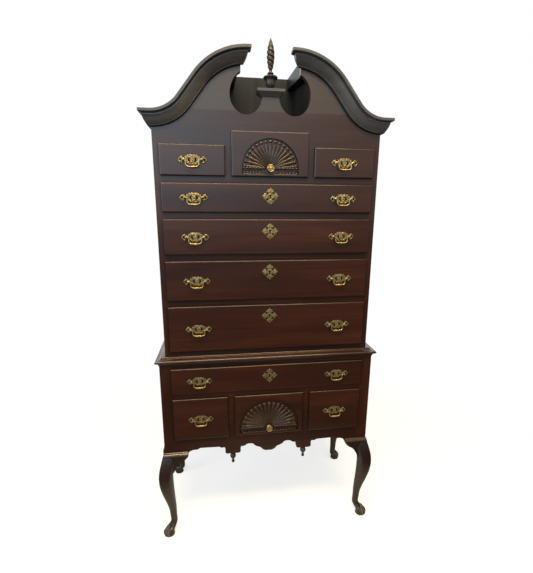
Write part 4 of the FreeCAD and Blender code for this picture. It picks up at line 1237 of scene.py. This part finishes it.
@dataclass
class Brassware:
    """All the brass, on the drawers and on the bails' pins."""
    pull: Pull = field(default_factory=Pull)
    key_plate: KeyPlate = field(default_factory=KeyPlate)
    knob: Knob = field(default_factory=Knob)
    key_drop: float = 0.048        # from the drawer front's top edge, in metres
    boss_shadow: Point = (16.6, 11.6) # half sizes of the painted shadow behind the lights beside the boss
    tip_shadow: Point = (5.4, 5.4)    # and behind the light at each end
    tip_place: float = 0.045       # from the pull's middle to that light, in metres
    key_shadow: Point = (17.0, 17.0)  # and behind the key plate
    shadow_disc: Outline = ((0, 0), (1, 0), (1, 0.3), (0, 0.3))   # before it is stretched

    def shadow_patch(self, place: Place, sizes: Point) -> Piece:
        """Lay an oval of painted shadow on a drawer's face.

        Args:
            place: its middle, in metres.
            sizes: its half sizes.

        Returns:
            The wax.
        """
        patch = spun("shadow_patch", self.shadow_disc, steps=20, upright=False)
        patch.matrix_world = moved(*place) @ Matrix.Diagonal((sizes[0], 1.0, sizes[1], 1.0))
        return settle(patch)

    def pull_shadow(self, x: float, face: float, z: float) -> list[Piece]:
        """Lay painted shadow behind the lights of one pull.

        Args:
            x: the pull's middle, in metres.
            face: the drawer's face.
            z: the pull's height.

        Returns:
            Three ovals of painted shadow.
        """
        ovals = ((0.0, self.boss_shadow), (-self.tip_place, self.tip_shadow),
                 (self.tip_place, self.tip_shadow))
        return [self.shadow_patch((x + aside, face, z), sizes) for aside, sizes in ovals]

    def build(self) -> None:
        """Model each pattern once and set its copies."""
        dull = AgedBrass("brass_cast", wear=0.40).build()
        bright = AgedBrass("brass_rubbed", wear=0.65, rubbed=(0.56, 0.43, 0.18)).build()
        # a near-black sheet paints the shadow seen through the pierced brass
        shadow_sheet = ShadowSheet("painted_shadow_sheet").build()
        plate, bail, key = self.pull.casting(), self.pull.bail(), self.key_plate.build()
        castings: dict[str, list[Piece]] = {}
        shadow_sheets: dict[str, list[Piece]] = {}
        for joint in frame["joints"]:
            if joint["type"] != "hinge":
                continue
            x, y, z = joint["pos_m"]
            face = y + self.pull.standoff * MM
            drawer = joint["parent"]
            castings.setdefault(drawer, []).append(copy_to(plate, moved(x, face, z), "plate"))
            # painted shadow behind the pull's lights
            shadow_sheets.setdefault(drawer, []).extend(self.pull_shadow(x, face, z))
            node = joint["name"].replace("swing", "bail")
            mount(copy_to(bail, moved(x, y, z), "dressed_" + node), joint["child"], bright,
                  node)
        for drawer, pieces in castings.items():
            name = drawer.removeprefix("drawer_").removesuffix("_body")
            if "long" in name:
                low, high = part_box("drawer_" + name)
                lock = ((low.x + high.x) / 2, low.y, high.z - self.key_drop)
                pieces.append(copy_to(key, moved(*lock), "key"))
                # and painted shadow behind the key plate
                shadow_sheets[drawer].append(self.shadow_patch(lock, self.key_shadow))
            mount(join(pieces, "dressed_brass_" + name), drawer, dull, "brass_" + name)
            mount(join(shadow_sheets[drawer], "shadow_" + name), drawer, shadow_sheet)
        discard(plate, bail, key)
        for name in ("top_shell", "lower_shell"):
            self.knob.build(name, bright)


# ---------------------------------------------------------------- carving and turning

@dataclass
class CarvedShell:
    """Shell carved in a drawer front: ribs that fan out from the knob, beads and leaves."""
    drawer: str
    radius: float                  # of the fan
    lift: float                    # the fan's centre above the recess's foot
    foot: float                    # the recess's foot above the drawer opening
    depth: float = 6.0             # of the recess
    lip: float = 5.0               # of the drawer front round its opening
    ribs: int = 17
    proud: float = 3.6             # how far ribs and beads stand out
    rib_ends: Point = (0.14, 0.94) # as shares of the radius
    pitch_at: float = 0.905        # share of the radius at which the ribs stand side by side
    rib_fill: float = 0.40         # half width of a rib there, as a share of its room
    narrow_at: Point = (0.22, 0.45)            # shares of a rib's length up to which it narrows
    narrow_to: Point = (0.45, 0.72)            # square of the width that each leaves
    thin_to: float = 0.9           # thickness that each leaves
    bead_at: float = 0.93          # share of the radius at which the beads' middles lie
    bead_out: float = 0.4          # how far their middles stand before the ribs'
    bead_high: float = 0.85        # height of a bead, as a share of its width
    leaf_start: float = 13.0       # from the fan's centre to the first leaf
    leaf_room: float = 13.0        # about what each leaf takes
    bare: float = 20.0             # what the leaves leave free of the radius
    leaf_row: float = 4.6          # half the distance between the two rows
    leaf_rise: float = 0.6         # how far the rows lie above the middle of the strip
    leaf_tilt: float = 20.0        # degrees
    leaf_high: float = 1.15        # stretch of a leaf
    leaf_route: tuple[Knot, ...] = (           # from its stem to its curled end
        (0, 0, 0, 0.6), (5, -1.6, 3.4, 2.4), (10.5, -2.2, 3.8, 3.2), (15, -2.0, 0.8, 2.8),
        (15.4, -1.6, -3.8, 2.0), (11.6, -1.4, -4.6, 1.5), (10.6, -1.4, -1.8, 1.1))

    def rib(self, width: float) -> Piece:
        """Draw one tapered rib from a ball, narrow at the hub and full at the rim.

        Args:
            width: its half width at the rim.

        Returns:
            The rib, upright above the hub.
        """
        near, far = (share * self.radius for share in self.rib_ends)
        rib = ball("rib", (width, self.proud, (far - near) / 2), (0, 0, (near + far) / 2),
                   segments=10, rings=10)
        for share, kept in zip(self.narrow_at, self.narrow_to):
            with editing(rib):
                limit = (near + (far - near) * share) * MM
                choose(rib, lambda place: place.z < limit)
                bpy.ops.transform.resize(value=(kept ** 0.5, self.thin_to, 1),
                                         center_override=(0, 0, 0))
        return smooth(rib, Crisp.CARVED)

    def bead(self, width: float) -> Piece:
        """Round off the lobe at the end of a rib.

        Args:
            width: its half width.

        Returns:
            The lobe, upright above the hub.
        """
        bead = ball("bead", (width, self.proud, width * self.bead_high),
                    (0, -self.bead_out, self.bead_at * self.radius), segments=12, rings=8)
        return smooth(bead, Crisp.CARVED)

    def fan(self) -> list[Piece]:
        """Spread the ribs and their beads round the hub.

        Returns:
            The pieces, with the hub on the origin.
        """
        width = self.rib_fill * math.pi * self.pitch_at * self.radius / self.ribs
        rib, bead = self.rib(width), self.bead(width)
        pieces = []
        for index in range(self.ribs):
            angle = math.pi * ((index + 0.5) / self.ribs - 0.5)
            turn = Matrix.Rotation(angle, 4, "Y")
            pieces += [copy_to(rib, turn, "rib_copy"), copy_to(bead, turn, "bead_copy")]
        discard(rib, bead)
        return pieces

    def strip(self) -> list[Piece]:
        """Lay two rows of leaves on each side, below the fan.

        Returns:
            The pieces, with the hub on the origin.
        """
        leaf = bent_rod("leaf", self.leaf_route)
        count = round((self.radius - self.bare) / self.leaf_room)
        step = (self.radius - self.bare) / count
        pieces = []
        for side in (-1, 1):
            for index in range(count):
                for row in (-1, 1):
                    out = self.leaf_start + step * (index + 0.25 * (row + 1))
                    up = self.leaf_row * row - self.lift / 2 + self.leaf_rise
                    place = (Matrix.Scale(side, 4, (1, 0, 0)) @ moved(out * MM, 0, up * MM)
                             @ Matrix.Rotation(math.radians(-self.leaf_tilt * row), 4, "Y")
                             @ Matrix.Diagonal((1.0, 1.0, self.leaf_high * row, 1.0)))
                    pieces.append(heal(copy_to(leaf, place, "leaf_copy")))
        discard(leaf)
        return pieces

    def build(self, finish: Finish) -> None:
        """Carve the shell and lay it in its recess.

        Args:
            finish: its mahogany.
        """
        low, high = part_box("drawer_%s_front" % self.drawer)
        hub = low.z + (self.lip + self.foot + self.lift) * MM
        shell = join(self.fan() + self.strip(), "carved_" + self.drawer)
        shell.matrix_world = moved((low.x + high.x) / 2, low.y + self.depth * MM, hub)
        mount(settle(shell), "drawer_%s_body" % self.drawer, finish)


@dataclass
class Finial:
    """Turned urn that carries a spiral flame."""
    flame_base: float = 62.0       # height at which the flame begins
    flame_height: float = 114.0
    lobes: int = 2
    lobe_sides: int = 12           # faces round one lobe
    groove: float = 0.20           # depth between two lobes, as a share of the radius
    groove_sides: int = 3          # faces from the groove's bottom to its edge
    turns: float = 3.4
    levels: int = 84
    swell: Outline = (             # (share of the flame's height, radius)
        (0.0, 4.4), (0.06, 6.2), (0.15, 9.8), (0.28, 12.8), (0.44, 14.6), (0.60, 14.0),
        (0.74, 11.2), (0.86, 7.0), (0.95, 3.2), (1.0, 0.8))
    urn_profile: Outline = (       # foot, bowl, lid and ring
        (0, 0), (22.6, 0), (22.9, 1.4), (21, 2.6), (14, 4.2), (9.8, 6.2), (9.0, 8.0),
        (10.8, 9.8), (14.2, 12.2), (16.8, 16), (17.8, 22), (18.4, 30), (19.4, 36.4),
        (20.8, 38.6), (25, 40), (26.8, 42), (27, 44.6), (25.4, 46.8), (21, 48.6), (14.6, 51),
        (10.2, 53.2), (9.4, 54.8), (11.2, 56), (12, 58), (11.2, 60), (8.6, 61.4), (6.4, 63),
        (5.2, 67), (0, 69))

    def envelope(self, share: float) -> float:
        """Give the flame's radius.

        Args:
            share: a share of the flame's height.

        Returns:
            The radius there.
        """
        for (start, low), (end, high) in zip(self.swell, self.swell[1:]):
            if share <= end:
                return low + (high - low) * (share - start) / (end - start)
        return self.swell[-1][1]

    def groove_lobes(self, flame: Piece) -> None:
        """Draw the circle in between its lobes.

        Args:
            flame: the circle, in edit mode.
        """
        mesh = bmesh.from_edit_mesh(flame.data)
        for index, vert in enumerate(mesh.verts):
            step = index % self.lobe_sides
            away = min(step, self.lobe_sides - step)
            depth = 1.0 - self.groove * max(0.0, 1.0 - away / self.groove_sides)
            vert.co.x *= depth
            vert.co.y *= depth
        bmesh.update_edit_mesh(flame.data)

    def flame(self) -> Piece:
        """Draw a lobed bar up level by level, while it turns and swells.

        Returns:
            The flame, above the urn.
        """
        clear_selection()
        bpy.ops.mesh.primitive_circle_add(vertices=self.lobes * self.lobe_sides,
                                          radius=self.envelope(0) * MM, fill_type="NGON",
                                          location=(0, 0, 0))
        flame = settle(bpy.context.object, "flame")
        rise = self.flame_height * MM / self.levels
        with editing(flame):
            self.groove_lobes(flame)
            bpy.ops.mesh.select_all(action="SELECT")
            for level in range(self.levels):
                low, high = (self.envelope(n / self.levels) for n in (level, level + 1))
                bpy.ops.mesh.extrude_region_move(TRANSFORM_OT_translate={"value": (0, 0, rise)})
                centre = (0, 0, rise * (level + 1))
                bpy.ops.transform.resize(value=(high / low, high / low, 1), center_override=centre)
                bpy.ops.transform.rotate(value=math.tau * self.turns / self.levels,
                                         orient_axis="Z", center_override=centre)
            bpy.ops.mesh.select_all(action="SELECT")
            bpy.ops.mesh.normals_make_consistent(inside=False)
        flame.matrix_world = moved(0, 0, self.flame_base * MM)
        return smooth(settle(flame), Crisp.CARVED)

    def build(self, finish: Finish) -> None:
        """Stand the finial on the plinth's cap.

        Args:
            finish: its mahogany.
        """
        low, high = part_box("finial")
        finial = join([spun("urn", self.urn_profile, steps=40), self.flame()], "turned_finial")
        finial.matrix_world = moved((low.x + high.x) / 2, (low.y + high.y) / 2, low.z)
        mount(settle(finial), "case", finish, "finial")


@dataclass
class Pendants:
    """Two turned drops under the apron's blocks."""
    profile: Outline = (
        (0, 0), (13.2, 0), (13.4, -1.4), (10.2, -3.4), (7.4, -5.6), (6.8, -7.4), (8.4, -9.8),
        (12, -13.4), (13.5, -18.4), (12.9, -23), (10.4, -27.8), (7.2, -32), (4.8, -35.2),
        (4, -38), (4, -40), (5.7, -42.2), (6.8, -45.4), (7, -48.6), (6.2, -52.2), (3.8, -55),
        (0, -56))

    def build(self, finish: Finish) -> None:
        """Turn one drop and hang both.

        Args:
            finish: their mahogany.
        """
        low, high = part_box("apron_pendants")
        drop = spun("drop", self.profile, steps=24)
        middle, inset = (low.y + high.y) / 2, (high.y - low.y) / 2
        pieces = [copy_to(drop, moved(x, middle, high.z), "drop_copy")
                  for x in (low.x + inset, high.x - inset)]
        discard(drop)
        mount(join(pieces, "turned_pendants"), "case", finish, "apron_pendants")


@dataclass
class KneeLedges:
    """Rounded ledge that crowns each knee and its brackets, mitred at the case's corner."""
    length: float = 102.0          # of each arm, in from the corner
    side_reach: float = 0.3        # how far the side arm stands out, as a share of the front's
    section: Outline = (           # (out, up) from the case's corner
        (0.0, 8.6), (1.0, 8.4), (3.8, 6.8), (6.4, 4.4), (7.0, 2.8), (8.0, 2.2), (11.0, 0.2),
        (13.2, -2.6), (13.8, -5.6), (13.2, -9.0), (0.0, -9.0))

    def strip(self, name: str, corner: Place, x: int, y: int) -> Piece:
        """Draw the section along the front, round the corner and along the side.

        Args:
            name: the strip's name.
            corner: how far the case's lower corners lie out, forward and up, in metres.
            x: -1 for the left side of the case, 1 for the right.
            y: -1 for the front, 1 for the back.

        Returns:
            The closed strip, in its place.
        """
        half, face, foot = corner
        length = self.length * MM
        verts: list[Place] = []
        for reach, rise in self.section:
            aside, ahead = half + self.side_reach * reach * MM, face + reach * MM
            ends = ((half - length, ahead), (aside, ahead), (aside, face - length))
            verts += [(x * u, y * v, foot + rise * MM) for u, v in ends]
        count = len(verts)     # three for each point of the section: front end, corner, side end
        faces = [(n + k, n + k + 1, (n + k + 4) % count, (n + k + 3) % count)
                 for n in range(0, count, 3) for k in (0, 1)]
        faces += [tuple(range(0, count, 3)), tuple(range(2, count, 3))]
        mesh = bpy.data.meshes.new(name)
        mesh.from_pydata(verts, [], faces)
        return smooth(heal(linked(name, mesh)), Crisp.CUT)

    def build(self, finish: Finish) -> None:
        """Lay the ledges of all four legs.

        Args:
            finish: their mahogany.
        """
        sides_low, sides_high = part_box("lower_sides")
        corner = (sides_high.x, -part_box("lower_frame")[0].y, sides_low.z)
        for x, y, name in CORNERS:
            mount(self.strip("ledge_" + name, corner, x, y), "case", finish)


@dataclass
class TrifidFeet:
    """Three carved toes on each foot, over the modelled pad."""
    aside: float = 0.466           # from the case's middle to a foot's, in metres
    ahead: float = 0.201           # the same towards the front, in metres
    splay: float = 34.0            # degrees between two toes
    toe_route: tuple[Knot, ...] = (            # down over the pad, from the ankle to the tip
        (5, 0, 50, 2.0), (9.5, 0, 42, 3.4), (15.5, 0, 33, 4.6), (22.5, 0, 23, 5.6),
        (25.6, 0, 14, 5.8), (24.5, 0, 7.2, 5.2), (18, 0, 3.6, 3.0))

    def build(self, finish: Finish) -> None:
        """Carve the toes of all four feet.

        Args:
            finish: their mahogany.
        """
        toe = bent_rod("toe", self.toe_route, round_steps=3)
        for x, y, name in CORNERS:
            middle = moved(x * self.aside, y * self.ahead)
            outward = math.atan2(y, x)
            pieces = []
            for turn in (-self.splay, 0.0, self.splay):
                place = middle @ Matrix.Rotation(outward + math.radians(turn), 4, "Z")
                pieces.append(copy_to(toe, place, "toe_copy"))
            mount(join(pieces, "toes_leg_" + name), "case", finish)
        discard(toe)


# ---------------------------------------------------------------- the studio

@dataclass(frozen=True)
class Lamp:
    """Soft rectangular lamp; its sizes are in metres."""
    name: str
    place: Place
    aim: Place
    size: Point
    power: float                   # in watts
    colour: Colour

    def hang(self) -> None:
        """Hang the lamp and turn it to its aim."""
        data = bpy.data.lights.new(self.name, "AREA")
        data.shape = "RECTANGLE"
        data.size, data.size_y = self.size
        data.energy = self.power
        data.color = self.colour
        lamp = linked(self.name, data)
        lamp.location = self.place
        lamp.rotation_mode = "QUATERNION"
        ahead = Vector(self.aim) - Vector(self.place)
        lamp.rotation_quaternion = ahead.to_track_quat("-Z", "Y")


@dataclass
class Studio:
    """Pale floor, soft lamps and the camera."""
    lens: float = 21.81            # the camera's focal length
    film: float = 36.0             # and the width of its film
    place: Place = (-0.201, -1.601, 1.494)     # of the camera, in metres
    yaw: float = 7.60              # degrees that it is turned to the right
    pitch: float = 12.45           # degrees that it looks down
    roll: float = 0.29             # degrees that it leans
    floor_size: float = 60.0       # in metres
    window_side: Colour = (1.70, 2.28, 2.68)   # the room's light from the left
    room_side: Colour = (0.62, 0.62, 0.60)     # from the right
    overhead: Colour = (0.72, 0.55, 0.29)      # from above
    behind: Colour = (0.24, 0.25, 0.26)        # from the far side of the case
    underneath: Colour = (0.040, 0.028, 0.024)
    lamps: tuple[Lamp, ...] = (
        Lamp("window", (-3.4, -1.7, 2.5), (0, 0, 1.4), (1.8, 2.0), 34, (0.76, 0.90, 1.0)),
        Lamp("ceiling", (0.0, -1.5, 3.7), (0, -0.1, 1.2), (2.4, 0.7), 105, (1.0, 0.76, 0.40)),
        Lamp("fill", (3.4, -2.6, 1.8), (0, 0, 1.0), (2.4, 2.4), 7, (0.98, 0.96, 0.92)))

    def camera(self) -> None:
        """Set the camera at a standing eye's height, turned and tipped a little."""
        yaw, pitch, roll = (math.radians(value) for value in (self.yaw, self.pitch, self.roll))
        ahead = Vector((math.sin(yaw) * math.cos(pitch), math.cos(yaw) * math.cos(pitch),
                        -math.sin(pitch)))
        level = Vector((math.cos(yaw), -math.sin(yaw), 0.0))
        up = level.cross(ahead)
        right = math.cos(roll) * level + math.sin(roll) * up
        crown = -math.sin(roll) * level + math.cos(roll) * up
        data = bpy.data.cameras.new("camera")
        data.lens = self.lens
        data.sensor_width = self.film
        camera = linked("camera", data)
        turn = Matrix((right, crown, -ahead)).transposed().to_4x4()
        camera.matrix_world = moved(*self.place) @ turn
        bpy.context.scene.camera = camera

    def floor(self) -> None:
        """Lay the floor."""
        clear_selection()
        bpy.ops.mesh.primitive_plane_add(size=self.floor_size, location=(0, 0, 0))
        floor = settle(bpy.context.object, "floor")
        wear_finish(floor, StudioPaper("studio_paper").build())

    def world(self) -> None:
        """Hang white behind the case, and light it as a room would.

        The light is cool from the window's side, dim from the other and warm from above.
        Camera and transmission rays meet white all round, and mirrored rays meet it where
        they leave away from the front. In front of the case they meet the room.
        """
        world = bpy.data.worlds.new("studio")
        bpy.context.scene.world = world
        sky = NodeTree(world)
        way = sky.parts(sky.add("ShaderNodeTexCoord").outputs["Generated"])
        side = sky.blend(sky.rising(way["X"], -0.24, 0.42), self.window_side, self.room_side)
        band = sky.blend(sky.rising(way["Z"], 0.26, 0.60), side, self.overhead)
        front = sky.blend(sky.rising(way["Y"], -0.5, 0.3), band, self.behind)
        glow = sky.blend(sky.rising(way["Z"], -0.14, 0.20), self.underneath, front)
        light, white = sky.add("ShaderNodeBackground"), sky.add("ShaderNodeBackground")
        sky.link(glow, light.inputs["Color"])
        sky.fill(white.inputs["Color"], WHITE)
        _, seen = sky.sight(sky.rising(way["Y"], 0.1, 0.5))
        mix = sky.add("ShaderNodeMixShader")
        for socket, source in zip(mix.inputs, (seen, light.outputs[0], white.outputs[0])):
            sky.link(source, socket)
        sky.link(mix.outputs[0], sky.add("ShaderNodeOutputWorld").inputs["Surface"])

    def build(self) -> None:
        """Set up the whole studio."""
        self.camera()
        self.floor()
        self.world()
        for lamp in self.lamps:
            lamp.hang()
        bpy.context.scene.view_settings.view_transform = "Standard"


def main() -> None:
    """Set the studio, dress the case, then add the brass, carving and turning."""
    logging.basicConfig(level=logging.INFO, format="%(name)s: %(message)s")
    Studio().build()
    case = Casework()
    case.dress()
    Brassware().build()
    carved = case.finishes["mahogany_carved_painted_highlight"]
    CarvedShell("top_shell", radius=108.0, lift=21.0, foot=4.0).build(carved)
    CarvedShell("lower_shell", radius=126.0, lift=19.0, foot=8.0).build(carved)
    Finial().build(case.finishes["mahogany_finial"])
    Pendants().build(case.finishes["mahogany_finial"])
    KneeLedges().build(case.finishes["mahogany_waist"])
    TrifidFeet().build(case.finishes["mahogany_toes_painted_highlight"])


if __name__ == "__main__":
    main()
